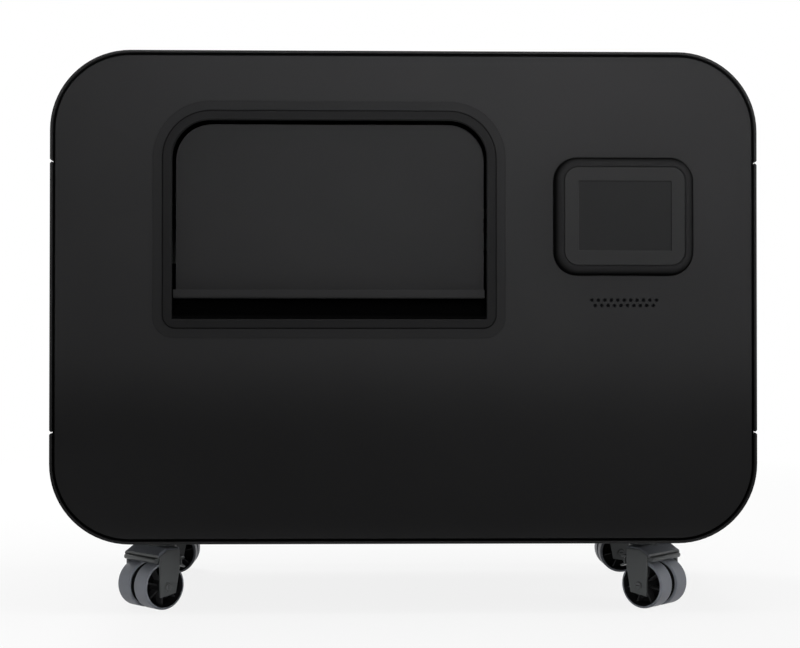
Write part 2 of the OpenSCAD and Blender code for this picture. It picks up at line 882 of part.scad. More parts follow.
// Lid hinges on the rear panel and on the lid's rear flange
module lid_hinge_leaves() {
    half = knuckle_w / 2 + knuckle_gap;
    color(steel_colour) for (s = [-1, 1]) {
        x = s * lid_hinge_x;
        span([x - half - outer_knuckle_w, x + half + outer_knuckle_w], [rear_face, rear_face + leaf_t],
             [lid_axis_z - leaf_h, lid_axis_z - lid_barrel_r - lid_flange_gap]);
        rod_x([x - half - outer_knuckle_w, x + half + outer_knuckle_w], lid_axis_y, lid_axis_z, lid_pin_r);
        for (side = [-1, 1]) {
            inner = x + side * half;
            outer = inner + side * outer_knuckle_w;
            knuckle = [min(inner, outer), max(inner, outer)];
            rod_x(knuckle, lid_axis_y, lid_axis_z, lid_barrel_r);
            span(knuckle, [rear_face, rear_face + leaf_t], [lid_axis_z - leaf_h, lid_axis_z]);
        }
    }
}

module lid_hinge_straps() {
    color(steel_colour) for (s = [-1, 1]) {
        limits = [s * lid_hinge_x - knuckle_w / 2, s * lid_hinge_x + knuckle_w / 2];
        difference() {
            union() {
                span(limits, [rear_face, rear_face + leaf_t], [lid_axis_z, lid_axis_z + strap_rise]);
                rod_x(limits, lid_axis_y, lid_axis_z, lid_barrel_r);
            }
            rod_x([limits[0] - past, limits[1] + past], lid_axis_y, lid_axis_z, lid_pin_r + running_fit);
        }
    }
}

// Touch panel and speaker
module bezel_slice(inset, y) {
    slab_y([y, y + slice_t]) translate([screen_x, mid_z + screen_z])
        rounded_rect(bezel_w - 2 * inset, bezel_h - 2 * inset, bezel_r - inset);
}

module glass_shape(grow) {
    touch_shape(grow - glass_inset);
}

module touch_bezel() {
    open_w = display_w + 2 * display_gap;
    open_h = display_h + 2 * display_gap;
    color(trim_colour) difference() {
        union() {
            hull() {
                bezel_slice(0, panel_back - slice_t, $fn = bezel_fn);
                for (i = [0 : bezel_steps]) {
                    turn = 90 * i / bezel_steps;
                    bezel_slice(bezel_rim * (1 - cos(turn)), front_y - bezel_proud * sin(turn),
                                $fn = bezel_fn);
                }
            }
            slab_y([panel_back, panel_back + bezel_flange_t]) touch_shape(bezel_flange);
        }
        slab_y([glass_face - past, glass_back]) glass_shape(glass_gap);
        span([screen_x - open_w / 2, screen_x + open_w / 2],
             [glass_face - past, panel_back + bezel_flange_t + past],
             [mid_z + screen_z - open_h / 2, mid_z + screen_z + open_h / 2]);
    }
}

module touch_glass() {
    color(glass_colour) slab_y([glass_face, glass_back]) glass_shape(0);
}

module display_module() {
    color(glass_colour)
        span([screen_x - display_w / 2, screen_x + display_w / 2], [glass_back, glass_back + display_d],
             [mid_z + screen_z - display_h / 2, mid_z + screen_z + display_h / 2]);
}

module speaker() {
    half = grille_holes * grille_pitch / 2 + speaker_margin;
    z = mid_z + grille_z;
    color(motor_colour) {
        span([grille_x - half, grille_x + half], [panel_back, panel_back + speaker_frame_t],
             [z - speaker_h / 2, z + speaker_h / 2]);
        span([grille_x - magnet_half, grille_x + magnet_half], [panel_back, panel_back + speaker_d],
             [z - speaker_h / 2 + speaker_margin, z + speaker_h / 2 - speaker_margin]);
    }
}

// Casters: each is drawn rolling towards -Y and then swung to its rest
module at_caster(side, end) {
    yaw = side * (end < 0 ? front_yaw : rear_yaw);
    translate([side * caster_x, centre_y + end * (body_d / 2 - caster_inset), 0]) rotate([0, 0, yaw])
        children();
}

module caster_plates() {
    color(zinc_colour) for (side = [-1, 1], end = [-1, 1])
        translate([side * caster_x, centre_y + end * (body_d / 2 - caster_inset), 0]) {
            span([-mount_plate / 2, mount_plate / 2], [-mount_plate / 2, mount_plate / 2],
                 [base_z - mount_plate_t, base_z]);
            rod_z(0, 0, [base_z - mount_plate_t - race_h, base_z - mount_plate_t / 2], race_r);
            rod_z(0, 0, [fork_under - king_gap - king_head_h, base_z - mount_plate_t], king_r);
            rod_z(0, 0, [fork_under - king_gap - king_head_h, fork_under - king_gap], king_head_r);
        }
}

// Height of the hood's top, which falls from the swivel race to the tip
function hood_top(u) = fork_top - hood_slope * (u - race_r);

// Side view of the fork's leg, with the rolling direction towards -Y
module leg_shape() {
    polygon([[-leg_rear, fork_top], [-race_r, fork_top], [-leg_front, hood_top(leg_front)],
             [-leg_front, leg_foot], [-leg_foot_rear, leg_foot + foot_slant], [-leg_rear, leg_shoulder]]);
}

module fork(side, end) {
    braked = end < 0;
    color(caster_colour) at_caster(side, end) difference() {
        union() {
            span([-leg_out, leg_out], [-race_r, -leg_rear], [fork_under, fork_top]);
            rod_z(0, 0, [fork_under, fork_top], race_r + race_rim);
            for (x = [[-leg_out, -leg_in], [leg_in, leg_out]]) slab_x(x) leg_shape();
            slab_x([-leg_out, leg_out])
                polygon([[-race_r, fork_top], [-race_r, fork_under],
                         [-hood_tip, hood_top(hood_tip) - hood_lip], [-hood_tip, hood_top(hood_tip)]]);
        }
        rod_z(0, 0, [fork_under - past, fork_top + past], king_r + running_fit);
        rod_x([-leg_out - past, leg_out + past], -caster_trail, wheel_r, axle_r + seat_fit);
        if (braked)
            rod_x([-leg_out - past, leg_out + past], -lever_pivot_u, lever_pivot_z,
                  lever_pin_r + running_fit);
    }
}

module axle(side, end) {
    head = leg_out + axle_head_gap;
    color(zinc_colour) at_caster(side, end) {
        rod_x([-head, head], -caster_trail, wheel_r, axle_r);
        for (x = [[-head - axle_head_t, -head], [head, head + axle_head_t]])
            rod_x(x, -caster_trail, wheel_r, axle_head_r);
    }
}

// Half section of one wheel: tread, web and hub, from the inner face outwards
module wheel_section() {
    rim = wheel_r - tread_t;
    translate([rim, 0]) square([tread_t - tread_r, wheel_w]);
    translate([rim, tread_r]) square([tread_t, wheel_w - 2 * tread_r]);
    for (a = [tread_r, wheel_w - tread_r]) intersection() {
        translate([wheel_r - tread_r, a]) circle(tread_r);
        translate([rim, 0]) square([tread_t, wheel_w]);
    }
    translate([hub_r - spoke_sink, web_at]) square([rim - hub_r + 2 * spoke_sink, web_t]);
    translate([axle_r + running_fit, -wheel_gap / 2 + hub_gap])
        square([hub_r - axle_r - running_fit, wheel_w + wheel_gap / 2 - hub_gap]);
}

module wheel() {
    rim = wheel_r - tread_t;
    spoke_z = [web_at + web_t / 2, wheel_w - spoke_inset];
    rotate_extrude() wheel_section();
    for (i = [0 : spokes - 1])
        rotate([0, 0, 360 * i / spokes])
            span([hub_r - spoke_sink, rim + spoke_sink], [-spoke_t / 2, spoke_t / 2], spoke_z);
}

module wheels(side, end) {
    color(caster_colour) at_caster(side, end) translate([0, -caster_trail, wheel_r]) for (s = [0, 1])
        mirror([s, 0, 0]) translate([wheel_gap / 2, 0, 0]) rotate([0, 90, 0]) wheel();
}

module brake(side, end) {
    slope_u = caster_trail + slope_ahead;
    tail_foot = lever_z - tail_drop;
    tail_end = tail_foot - tail_kick_drop;
    color(caster_colour) at_caster(side, end) {
        slab_x([-lever_half, lever_half])
            polygon([[lever_behind, lever_z], [lever_behind, lever_z + lever_t],
                     [-slope_u, lever_z + lever_t], [-pedal_u, pedal_z + pedal_half_t],
                     [-pedal_u, pedal_z - pedal_half_t],
                     [-slope_u - past, lever_z]]);
        slab_x([-tail_half, tail_half])
            polygon([[lever_behind - tail_t, lever_z + past], [lever_behind, lever_z + past],
                     [lever_behind, tail_foot], [lever_behind + tail_kick, tail_end],
                     [lever_behind + tail_kick - past, tail_end - tail_end_t],
                     [lever_behind - tail_t, tail_foot - pedal_half_t]]);
        rod_x([-leg_out + pedal_play, leg_out - pedal_play], -pedal_u, pedal_z, pedal_r);
        rod_x([-lever_half, lever_half], -lever_pivot_u, lever_pivot_z, lever_boss_r);
        rod_x([-leg_out + cut_fit, leg_out - cut_fit], -lever_pivot_u, lever_pivot_z, lever_pin_r);
    }
}

// Frame of the mechanism
module side_plate_shape() {
    polygon([[plate_front, base_top], [plate_rear, base_top], [plate_rear, plate_top],
             [plate_front + plate_slope_run, plate_top], [plate_front, paper_z + plate_nose_rise]]);
}

module side_plates() {
    color(steel_colour) for (x = [plate_left, plate_right]) {
        cut = [x[0] - past, x[1] + past];
        difference() {
            slab_x(x) side_plate_shape();
            for (s = [-1, 1]) rod_x(cut, head_y + s * rail_half, rail_z, rail_r + seat_fit);
            rod_x(cut, guide_y, guide_z, guide_r + seat_fit);
            rod_x(cut, shaft_y, shaft_z, journal_r + running_fit);
            if (x == plate_right) rod_x(cut, shaft_y, feed_z, pilot_r);
        }
    }
}

module guide_rods() {
    whole = [plate_left[0], plate_right[1]];
    color(steel_colour) {
        for (s = [-1, 1]) rod_x(whole, head_y + s * rail_half, rail_z, rail_r);
        rod_x(whole, guide_y, guide_z, guide_r);
    }
}

module cross_beam() {
    color(steel_colour) {
        difference() {
            span(between, beam_y, [rail_z - beam_half_h, rail_z + beam_half_h]);
            rod_y(window_x + pulley_x, [beam_y[0] - past, beam_y[1] + past], rail_z, pilot_r);
        }
        rod_y(window_x - pulley_x, [pulley_y[0], beam_y[1]], rail_z, motor_shaft_r);
    }
}

module anvil_bar() {
    color(steel_colour)
        span(between, [head_y - anvil_w / 2, head_y + anvil_w / 2],
             [paper_z - paper_play - anvil_h, paper_z - paper_play]);
}

module paper_chute() {
    crest = [tractor_y[0] - chute_gap, paper_z - chute_gap];
    knee = [door_y + chute_gap, mid_z + window_sill + 2 * mouth_rise];
    mouth = [panel_back + mouth_back, mid_z + window_sill + mouth_rise];
    drop = [0, -chute_t];
    color(zinc_colour) slab_x(between)
        polygon([crest, knee, mouth, mouth + drop, knee + drop, crest + drop]);
}

// Paper drive
module drive_shaft() {
    half = shaft_side / 2;
    color(steel_colour) {
        span([between[0] + past, between[1] - past], [shaft_y - half, shaft_y + half],
             [shaft_z - half, shaft_z + half]);
        rod_x([plate_left[0], feed_x[1] + shaft_over], shaft_y, shaft_z, journal_r);
    }
}

// A flanged belt pulley along X
module pulley_along_x(x, y, z, r) {
    rod_x(x, y, z, r);
    for (limits = [[x[0], x[0] + pulley_flange], [x[1] - pulley_flange, x[1]]])
        rod_x(limits, y, z, r + belt_t + pulley_lip);
}

// A flanged belt pulley along Y
module pulley_along_y(x, y, z, r) {
    rod_y(x, y, z, r);
    for (limits = [[y[0], y[0] + pulley_flange], [y[1] - pulley_flange, y[1]]])
        rod_y(x, limits, z, r + belt_t + pulley_lip);
}

module feed_pulley() {
    color(zinc_colour) difference() {
        pulley_along_x(feed_x, shaft_y, shaft_z, feed_pulley_r);
        rod_x([feed_x[0] - past, feed_x[1] + past], shaft_y, shaft_z, journal_r + seat_fit);
    }
}

module feed_motor_pulley() {
    color(zinc_colour) {
        pulley_along_x(feed_x, shaft_y, feed_z, motor_pulley_r);
        rod_x([between[1] - motor_shaft_in + past, feed_x[1]], shaft_y, feed_z, motor_shaft_r);
    }
}

module feed_belt() {
    color(rubber_colour) slab_x(feed_belt_x)
        belt_loop([shaft_y, shaft_z], [shaft_y, feed_z], feed_pulley_r, motor_pulley_r);
}

module pin_wheel(side) {
    x = window_x + side * tractor_x;
    bore = shaft_side / 2 + shaft_play;
    color(tractor_colour) difference() {
        union() {
            rod_x([x - pin_wheel_w / 2, x + pin_wheel_w / 2], shaft_y, shaft_z, pin_wheel_r);
            translate([x, shaft_y, shaft_z]) for (i = [0 : pin_count - 1])
                rotate([360 * i / pin_count, 0, 0])
                    rod_z(0, 0, [pin_wheel_r - pin_sink, pin_reach], feed_pin_r);
        }
        span([x - pin_wheel_w, x + pin_wheel_w], [shaft_y - bore, shaft_y + bore],
             [shaft_z - bore, shaft_z + bore]);
    }
}

module tractor(side) {
    x = window_x + side * tractor_x;
    outer = x + side * tractor_half;
    axis_x = outer + side * tractor_axis_out;
    ear_x = [min(outer, axis_x + side * tractor_barrel_r), max(outer, axis_x + side * tractor_barrel_r)];
    slot = pin_wheel_w / 2 + wheel_slot;
    slot_y = pin_reach + wheel_slot;
    whole = [x - tractor_half - past, x + tractor_half + past];
    color(tractor_colour) {
        difference() {
            span([x - tractor_half, x + tractor_half], tractor_y, tractor_z);
            span([x - slot, x + slot], [shaft_y - slot_y, shaft_y + slot_y],
                 [tractor_z[0] - past, tractor_z[1] + past]);
            rod_x(whole, shaft_y, shaft_z, shaft_side * sqrt(2) / 2 + wheel_slot);
            rod_x(whole, guide_y, guide_z, guide_r + running_fit);
        }
        translate([0, shaft_y, 0]) {
            for (y = [-tractor_ear_y - tractor_ear_t, tractor_ear_y])
                span(ear_x, [y, y + tractor_ear_t],
                     [tractor_axis_z - tractor_ear_drop, tractor_axis_z + tractor_barrel_r]);
            rod_y(axis_x, [-tractor_ear_y - past, tractor_ear_y + past], tractor_axis_z, tractor_pin_r);
        }
    }
}

module tractor_lid(side) {
    x = window_x + side * tractor_x;
    axis_x = x + side * (tractor_half + tractor_axis_out);
    inner = x - side * (tractor_half - flap_inset);
    half_y = tractor_ear_y - cut_fit;
    slot_x = feed_pin_r + flap_slot_play;
    slot_y = pin_wheel_r * flap_slot_share;
    flap_x = [min(axis_x, inner), max(axis_x, inner)];
    color(tractor_colour) translate([0, shaft_y, 0]) difference() {
        union() {
            span(flap_x, [-half_y, half_y], [flap_z, flap_z + flap_t]);
            span([axis_x - flap_arm_half, axis_x + flap_arm_half], [-half_y, half_y],
                 [tractor_axis_z, flap_z + flap_t]);
            rod_y(axis_x, [-half_y, half_y], tractor_axis_z, tractor_barrel_r);
        }
        rod_y(axis_x, [-half_y - past, half_y + past], tractor_axis_z, tractor_pin_r + running_fit);
        span([x - slot_x, x + slot_x], [-slot_y, slot_y], [flap_z - past, flap_z + flap_t + past]);
    }
}

// Embossing head
module head_carriage() {
    x = [window_x - carriage_w / 2, window_x + carriage_w / 2];
    cut = [x[0] - past, x[1] + past];
    color(motor_colour) difference() {
        union() {
            span(x, carriage_y, carriage_z);
            span([window_x - nose_half, window_x + nose_half], [head_y - nose_half, head_y + nose_half],
                 [paper_z + nose_rise, carriage_z[0] + past]);
            span([window_x - clamp_half, window_x + clamp_half],
                 [carriage_y[1] - past, belt_y[1] + clamp_end],
                 [belt_low - belt_t / 2 - clamp_wall, belt_low + belt_t / 2 + clamp_wall]);
        }
        for (s = [-1, 1]) rod_x(cut, head_y + s * rail_half, rail_z, rail_r + running_fit);
        span(cut, [belt_y[0] - cut_fit, belt_y[1] + cut_fit],
             [belt_low - belt_t / 2 - cut_fit, belt_low + belt_t / 2 + cut_fit]);
        for (p = dot_places)
            rod_z(p[0], p[1], [paper_z, carriage_z[1] + past], dot_pin_r + dot_pin_play);
    }
}

module solenoid_bank() {
    color(steel_colour) for (col = [-0.5, 0.5], row = [-1, 0, 1])
        rod_z(window_x + col * solenoid_pitch, head_y + row * solenoid_pitch,
              [carriage_z[1], carriage_z[1] + solenoid_h], solenoid_r);
}

module embossing_pins() {
    color(zinc_colour) for (p = dot_places)
        rod_z(p[0], p[1], [paper_z + dot_pin_rise, carriage_z[1] - dot_pin_inset], dot_pin_r);
}

module carriage_belt() {
    color(rubber_colour) slab_y(belt_y)
        belt_loop([window_x - pulley_x, rail_z], [window_x + pulley_x, rail_z], pulley_r, pulley_r);
}

module carriage_motor_pulley() {
    x = window_x + pulley_x;
    color(zinc_colour) {
        pulley_along_y(x, pulley_y, rail_z, pulley_r);
        rod_y(x, [pulley_y[0], beam_y[1] + motor_shaft_in - past], rail_z, motor_shaft_r);
    }
}

module carriage_idler_pulley() {
    x = window_x - pulley_x;
    color(zinc_colour) difference() {
        pulley_along_y(x, pulley_y, rail_z, pulley_r);
        rod_y(x, [pulley_y[0] - past, pulley_y[1] + past], rail_z, motor_shaft_r + running_fit);
    }
}

module stepper_motors() {
    half = motor_w / 2;
    color(motor_colour) {
        difference() {
            translate([window_x + pulley_x, 0, rail_z])
                span([-half, half], [beam_y[1], beam_y[1] + motor_l], [-half, half]);
            rod_y(window_x + pulley_x, [beam_y[1] - past, beam_y[1] + motor_shaft_in], rail_z,
                  motor_shaft_r + running_fit);
        }
        difference() {
            translate([0, shaft_y, feed_z])
                span([between[1] - motor_l, between[1]], [-half, half], [-half, half]);
            rod_x([between[1] - motor_shaft_in, between[1] + past], shaft_y, feed_z,
                  motor_shaft_r + running_fit);
        }
    }
}

// Electrics
module power_supply() {
    color(zinc_colour) {
        span(supply_x, supply_y, [base_top, base_top + supply_h]);
        span([supply_x[0] + terminals_x[0], supply_x[0] + terminals_x[1]],
             [supply_y[1] - past, supply_y[1] + terminals_d], [base_top, base_top + terminals_h]);
    }
}

module controller_board() {
    board_z = base_top + standoff_h;
    color(board_colour) {
        span(supply_x, board_y, [board_z, board_z + board_t]);
        for (x = [supply_x[0] + board_edge, supply_x[1] - board_edge],
             y = [board_y[0] + board_edge, board_y[1] - board_edge])
            rod_z(x, y, [base_top, board_z + board_t / 2], standoff_r);
        for (i = [0 : 2])
            translate([supply_x[0] + chip_at[0] + chip_pitch * i, board_y[0] + chip_at[1], board_z])
                cube([chip_side, chip_side, board_t + chip_h]);
    }
}

module power_inlet() {
    cell = [rear_face - rocker_cell_d, rear_face + inlet_lip_t + past];
    bore_half = rocker_cell_w / 2 + rocker_pin_bore;
    blade_y = [rear_face - socket_d - past, rear_face - blade_back];
    color(rubber_colour) {
        difference() {
            union() {
                translate([inlet_x, 0, inlet_z])
                    span([-inlet_w / 2, inlet_w / 2], [rear_face - inlet_d, rear_face + past],
                         [-inlet_h / 2, inlet_h / 2]);
                translate([inlet_x, 0, inlet_z])
                    span([-inlet_w / 2 - inlet_lip, inlet_w / 2 + inlet_lip],
                         [rear_face, rear_face + inlet_lip_t],
                         [-inlet_h / 2 - inlet_lip, inlet_h / 2 + inlet_lip]);
            }
            translate([socket_x, 0, inlet_z])
                span([-socket_w / 2, socket_w / 2], [rear_face - socket_d, rear_face + inlet_lip_t + past],
                     [-socket_h / 2, socket_h / 2]);
            translate([rocker_x, 0, inlet_z])
                span([-rocker_cell_w / 2, rocker_cell_w / 2], cell,
                     [-rocker_cell_h / 2, rocker_cell_h / 2]);
            rod_x([rocker_x - bore_half, rocker_x + bore_half], rocker_axis_y, inlet_z,
                  rocker_pin_r + running_fit);
        }
        for (p = blade_places)
            translate([socket_x + p[0], 0, inlet_z + p[1]])
                span([-blade_half[0], blade_half[0]], blade_y, [-blade_half[1], blade_half[1]]);
    }
}

module power_rocker() {
    half = rocker_h / 2;
    pin_half = rocker_cell_w / 2 + rocker_pin_in;
    color(motor_colour) translate([0, rocker_axis_y, inlet_z]) rotate([rocker_tilt, 0, 0]) {
        slab_x([rocker_x - rocker_w / 2, rocker_x + rocker_w / 2])
            polygon([[rocker_crown, half], [rocker_waist, 0], [rocker_crown, -half],
                     [-rocker_foot, -half / 2], [-rocker_foot, half / 2]]);
        rod_x([rocker_x - pin_half, rocker_x + pin_half], 0, 0, rocker_pin_r);
    }
}

top_cover();
left_side_cover();
right_side_cover();
bottom_cover();
front_panel();
rear_panel();
cabinet_hoops();
base_chassis();
window_trim();
paper_door();
door_hinge_straps();
door_hinge_brackets();
lid_hinge_leaves();
lid_hinge_straps();
touch_bezel();
touch_glass();
display_module();
speaker();
caster_plates();
fork(-1, -1);  // front_left_fork
axle(-1, -1);  // front_left_axle
wheels(-1, -1);  // front_left_wheels
brake(-1, -1);  // front_left_brake
fork(1, -1);  // front_right_fork
axle(1, -1);  // front_right_axle
wheels(1, -1);  // front_right_wheels
brake(1, -1);  // front_right_brake
fork(-1, 1);  // rear_left_fork
axle(-1, 1);  // rear_left_axle
wheels(-1, 1);  // rear_left_wheels
fork(1, 1);  // rear_right_fork
axle(1, 1);  // rear_right_axle
wheels(1, 1);  // rear_right_wheels
side_plates();
guide_rods();
cross_beam();
anvil_bar();
paper_chute();
drive_shaft();
feed_pulley();
feed_belt();
feed_motor_pulley();
tractor(-1);  // left_tractor
pin_wheel(-1);  // left_pin_wheel
tractor_lid(-1);  // left_tractor_lid
tractor(1);  // right_tractor
pin_wheel(1);  // right_pin_wheel
tractor_lid(1);  // right_tractor_lid
head_carriage();
solenoid_bank();
embossing_pins();
carriage_belt();
carriage_motor_pulley();
carriage_idler_pulley();
stepper_motors();
power_supply();
controller_board();
power_inlet();
power_rocker();
panel_screws();
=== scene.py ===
"""Looks of the braille embosser: finishes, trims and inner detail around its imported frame.

Lengths are in millimetres, and those of the camera's reach, the floor and the lamps in metres. The axes are
the frame's: +X to the right seen from the front, +Y to the rear, +Z up.
"""

import json
from contextlib import contextmanager
from math import acos, atan2, copysign, cos, pi, radians, sin, tau

import bmesh
import bpy
from mathutils import Matrix, Vector

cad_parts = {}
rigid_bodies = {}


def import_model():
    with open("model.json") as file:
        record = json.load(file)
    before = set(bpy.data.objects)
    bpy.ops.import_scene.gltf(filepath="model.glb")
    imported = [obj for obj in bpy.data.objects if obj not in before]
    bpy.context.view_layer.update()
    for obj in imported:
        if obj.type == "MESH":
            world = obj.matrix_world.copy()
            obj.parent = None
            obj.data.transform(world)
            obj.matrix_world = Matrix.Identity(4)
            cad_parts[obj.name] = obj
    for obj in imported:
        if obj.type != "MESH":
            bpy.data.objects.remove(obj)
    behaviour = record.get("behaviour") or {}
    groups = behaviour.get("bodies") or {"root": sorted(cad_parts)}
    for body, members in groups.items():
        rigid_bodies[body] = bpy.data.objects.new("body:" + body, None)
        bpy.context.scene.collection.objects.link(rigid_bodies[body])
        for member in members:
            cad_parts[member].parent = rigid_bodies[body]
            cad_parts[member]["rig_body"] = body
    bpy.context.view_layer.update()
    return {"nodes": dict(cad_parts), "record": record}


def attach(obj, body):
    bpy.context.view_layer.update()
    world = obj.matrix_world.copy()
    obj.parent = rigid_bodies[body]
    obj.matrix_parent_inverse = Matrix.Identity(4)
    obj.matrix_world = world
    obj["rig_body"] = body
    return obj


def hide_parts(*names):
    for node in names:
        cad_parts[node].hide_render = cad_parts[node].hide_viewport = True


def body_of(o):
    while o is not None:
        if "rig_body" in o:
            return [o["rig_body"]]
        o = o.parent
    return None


MM = 0.001

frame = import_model()
nodes = frame["nodes"]


# Material building

def plug(tree, socket, value):
    """Sets a socket, or links another node's output to it."""
    if isinstance(value, bpy.types.NodeSocket):
        tree.links.new(value, socket)
    else:
        socket.default_value = value


def make_node(tree, kind, inputs=None, **settings):
    node = tree.nodes.new("ShaderNode" + kind)
    for key, value in settings.items():
        setattr(node, key, value)
    for key, value in (inputs or {}).items():
        plug(tree, node.inputs[key], value)
    return node


class Look:
    """A procedural material around one Principled shader."""

    def __init__(self, name, roughness, metallic=0.0, specular=0.5):
        self.material = bpy.data.materials.new(name)
        self.material.use_nodes = True
        self.tree = self.material.node_tree
        self.shader = self.tree.nodes["Principled BSDF"]
        self.set("Roughness", roughness)
        self.set("Metallic", metallic)
        self.set("Specular IOR Level", specular)
        self.place = self.make("TexCoord").outputs["Object"]

    def set(self, socket, value):
        plug(self.tree, self.shader.inputs[socket], value)

    def make(self, kind, inputs=None, **settings):
        return make_node(self.tree, kind, inputs, **settings)

    def noise(self, size, detail, stretch=(1, 1, 1)):
        """Cloudy values from 0 to 1, with features of a size, drawn out along an axis by its stretch."""
        scale = tuple(1 / (size * MM * s) for s in stretch)
        spread = self.make("Mapping", {"Vector": self.place, "Scale": scale}).outputs[0]
        return self.make("TexNoise", {"Vector": spread, "Scale": 1.0, "Detail": detail}).outputs[0]

    def span(self, value, low, high, start=0.3, end=0.7):
        """Carries a pattern's values over to the span from low to high."""
        return self.make("MapRange", {"Value": value, "From Min": start, "From Max": end,
                                      "To Min": low, "To Max": high}).outputs[0]

    def times(self, a, b):
        return self.make("Math", {0: a, 1: b}, operation="MULTIPLY").outputs[0]

    def mix(self, share, a, b):
        """Mixes two colours."""
        return self.make("Mix", {0: share, 6: a, 7: b}, data_type="RGBA").outputs[2]

    def edges(self, radius):
        """1 along the edges of a shape and 0 on its faces."""
        on_edge, on_face = 0.75, 0.98
        rounded = self.make("Bevel", {"Radius": radius * MM}, samples=4).outputs[0]
        plain = self.make("NewGeometry").outputs["Normal"]
        dot = self.make("VectorMath", {0: rounded, 1: plain}, operation="DOT_PRODUCT")
        return self.span(dot.outputs["Value"], 1.0, 0.0, on_edge, on_face)

    def relief(self, height, depth, strength=1.0):
        bump = self.make("Bump", {"Height": height, "Distance": depth * MM, "Strength": strength})
        self.set("Normal", bump.outputs[0])


def shade(colour, factor):
    return tuple(min(1.0, c * factor) for c in colour[:3]) + (1.0,)


def coated(name, colour, roughness, specular, grain, depth, wear):
    """Paint, powder coat or moulded plastic: a fine grain, cloudy gloss and edges rubbed a little paler."""
    cloud, rub_width, rub_patch, least_rub, gloss_patch = 90.0, 1.2, 14.0, 0.15, 25.0
    look = Look(name, roughness, specular=specular)
    worn = look.times(look.edges(rub_width), look.span(look.noise(rub_patch, 5.0), least_rub, 1.0))
    tone = look.mix(look.span(look.noise(cloud, 4.0), 0.0, 1.0), shade(colour, 0.97), shade(colour, 1.03))
    look.set("Base Color", look.mix(worn, tone, shade(colour, wear)))
    look.set("Roughness", look.span(look.noise(gloss_patch, 5.0), roughness - 0.015, roughness + 0.02))
    look.relief(look.noise(grain, 2.0), depth)
    return look.material


def metal(name, colour, roughness, stretch=(1, 1, 1)):
    """Bare or plated metal with fine tool marks and a cloudy sheen."""
    mark, mark_depth, cloud = 1.2, 0.02, 22.0
    look = Look(name, roughness, metallic=1.0)
    marks = look.noise(mark, 3.0, stretch)
    clouds = look.span(look.noise(cloud, 4.0), 0.0, 1.0)
    look.set("Base Color", look.mix(clouds, shade(colour, 0.85), shade(colour, 1.08)))
    look.set("Roughness", look.span(marks, roughness - 0.08, roughness + 0.12))
    look.relief(marks, mark_depth, 0.6)
    return look.material


def glassy(name, colour, roughness, specular):
    """A dark pane with faint smears in its gloss."""
    smear, smear_stretch, grain, depth = 35.0, (1.0, 1.0, 2.2), 0.8, 0.004
    look = Look(name, roughness, specular=specular)
    smears = look.noise(smear, 6.0, smear_stretch)
    look.set("Base Color", look.mix(look.span(smears, 0.0, 1.0), shade(colour, 0.98), shade(colour, 1.02)))
    look.set("Roughness", look.span(smears, roughness - 0.02, roughness + 0.03))
    look.relief(look.noise(grain, 1.0), depth, 0.3)
    return look.material


COVER_BLACK = (0.0200, 0.0200, 0.0205)
PANEL_BLACK = (0.0195, 0.0195, 0.0200)
MOULDING_BLACK = (0.0105, 0.0105, 0.0108)
SLATE = (0.066, 0.070, 0.079)
FORK_GREY = (0.046, 0.049, 0.050)

LOOKS = {
    "cover": coated("black_powder_coat", COVER_BLACK, 0.48, 0.06, 0.9, 0.02, 1.4),
    "panel": coated("black_panel_coat", PANEL_BLACK, 0.52, 0.03, 0.9, 0.02, 1.2),
    "trim": coated("black_moulding", MOULDING_BLACK, 0.50, 0.03, 0.6, 0.02, 1.2),
    "glass": glassy("touch_pane", (0.0190, 0.0191, 0.0194), 0.36, 0.04),
    "display": glassy("display_off", (0.0134, 0.0135, 0.0138), 0.36, 0.04),
    "speaker": coated("speaker_black", (0.004, 0.004, 0.0046), 0.7, 0.05, 0.8, 0.03, 1.2),
    "frame_steel": coated("grey_enamel", (0.30, 0.30, 0.31), 0.42, 0.5, 1.2, 0.03, 1.5),
    # Painted shade: dark grey enamel for the side plates, so the light from the rear slot doesn't show on
    # their inner faces.
    "plate_steel": coated("grey_enamel_painted_shade", (0.150, 0.150, 0.155), 0.60, 0.05, 1.2, 0.03, 1.5),
    # Painted shade: near-black, darker than paint, so the slot under the door and the strips behind the seams
    # read as shade.
    "black_steel": coated("black_enamel_painted_shade", (0.0016, 0.0016, 0.0017), 0.60, 0.01, 1.0, 0.02, 1.2),
    "hinge_steel": metal("zinc_plate", (0.47, 0.47, 0.48), 0.36),
    "axle_steel": coated("blackened_steel", shade(FORK_GREY, 1.15), 0.42, 0.3, 0.7, 0.02, 1.4),
    "caster_plastic": coated("slate_moulding", FORK_GREY, 0.44, 0.30, 0.7, 0.03, 1.4),
    "wheel_tread": coated("slate_nylon", shade(SLATE, 1.95), 0.50, 0.30, 0.8, 0.03, 1.3),
    "bright_steel": metal("ground_steel", (0.60, 0.60, 0.61), 0.20, (40, 1, 1)),
    "pulley_metal": metal("turned_aluminium", (0.66, 0.66, 0.67), 0.28),
    "belt_rubber": coated("belt_rubber", (0.016, 0.016, 0.016), 0.72, 0.3, 0.5, 0.05, 1.6),
    "tractor_plastic": coated("grey_moulding", (0.060, 0.064, 0.072), 0.48, 0.4, 0.7, 0.03, 1.4),
    "head_metal": coated("black_anodised", (0.045, 0.045, 0.050), 0.36, 0.5, 0.5, 0.01, 2.2),
    "solenoid_metal": metal("plated_can", (0.52, 0.50, 0.44), 0.34),
    "motor_metal": coated("black_lacquer", (0.022, 0.022, 0.023), 0.36, 0.5, 0.9, 0.02, 1.8),
    "supply_metal": metal("folded_sheet", (0.56, 0.56, 0.54), 0.40, (1, 30, 1)),
    "board": coated("green_board", (0.014, 0.085, 0.036), 0.38, 0.5, 0.8, 0.01, 1.4),
    "inlet_plastic": coated("inlet_moulding", (0.012, 0.012, 0.012), 0.40, 0.45, 0.6, 0.02, 1.4),
}
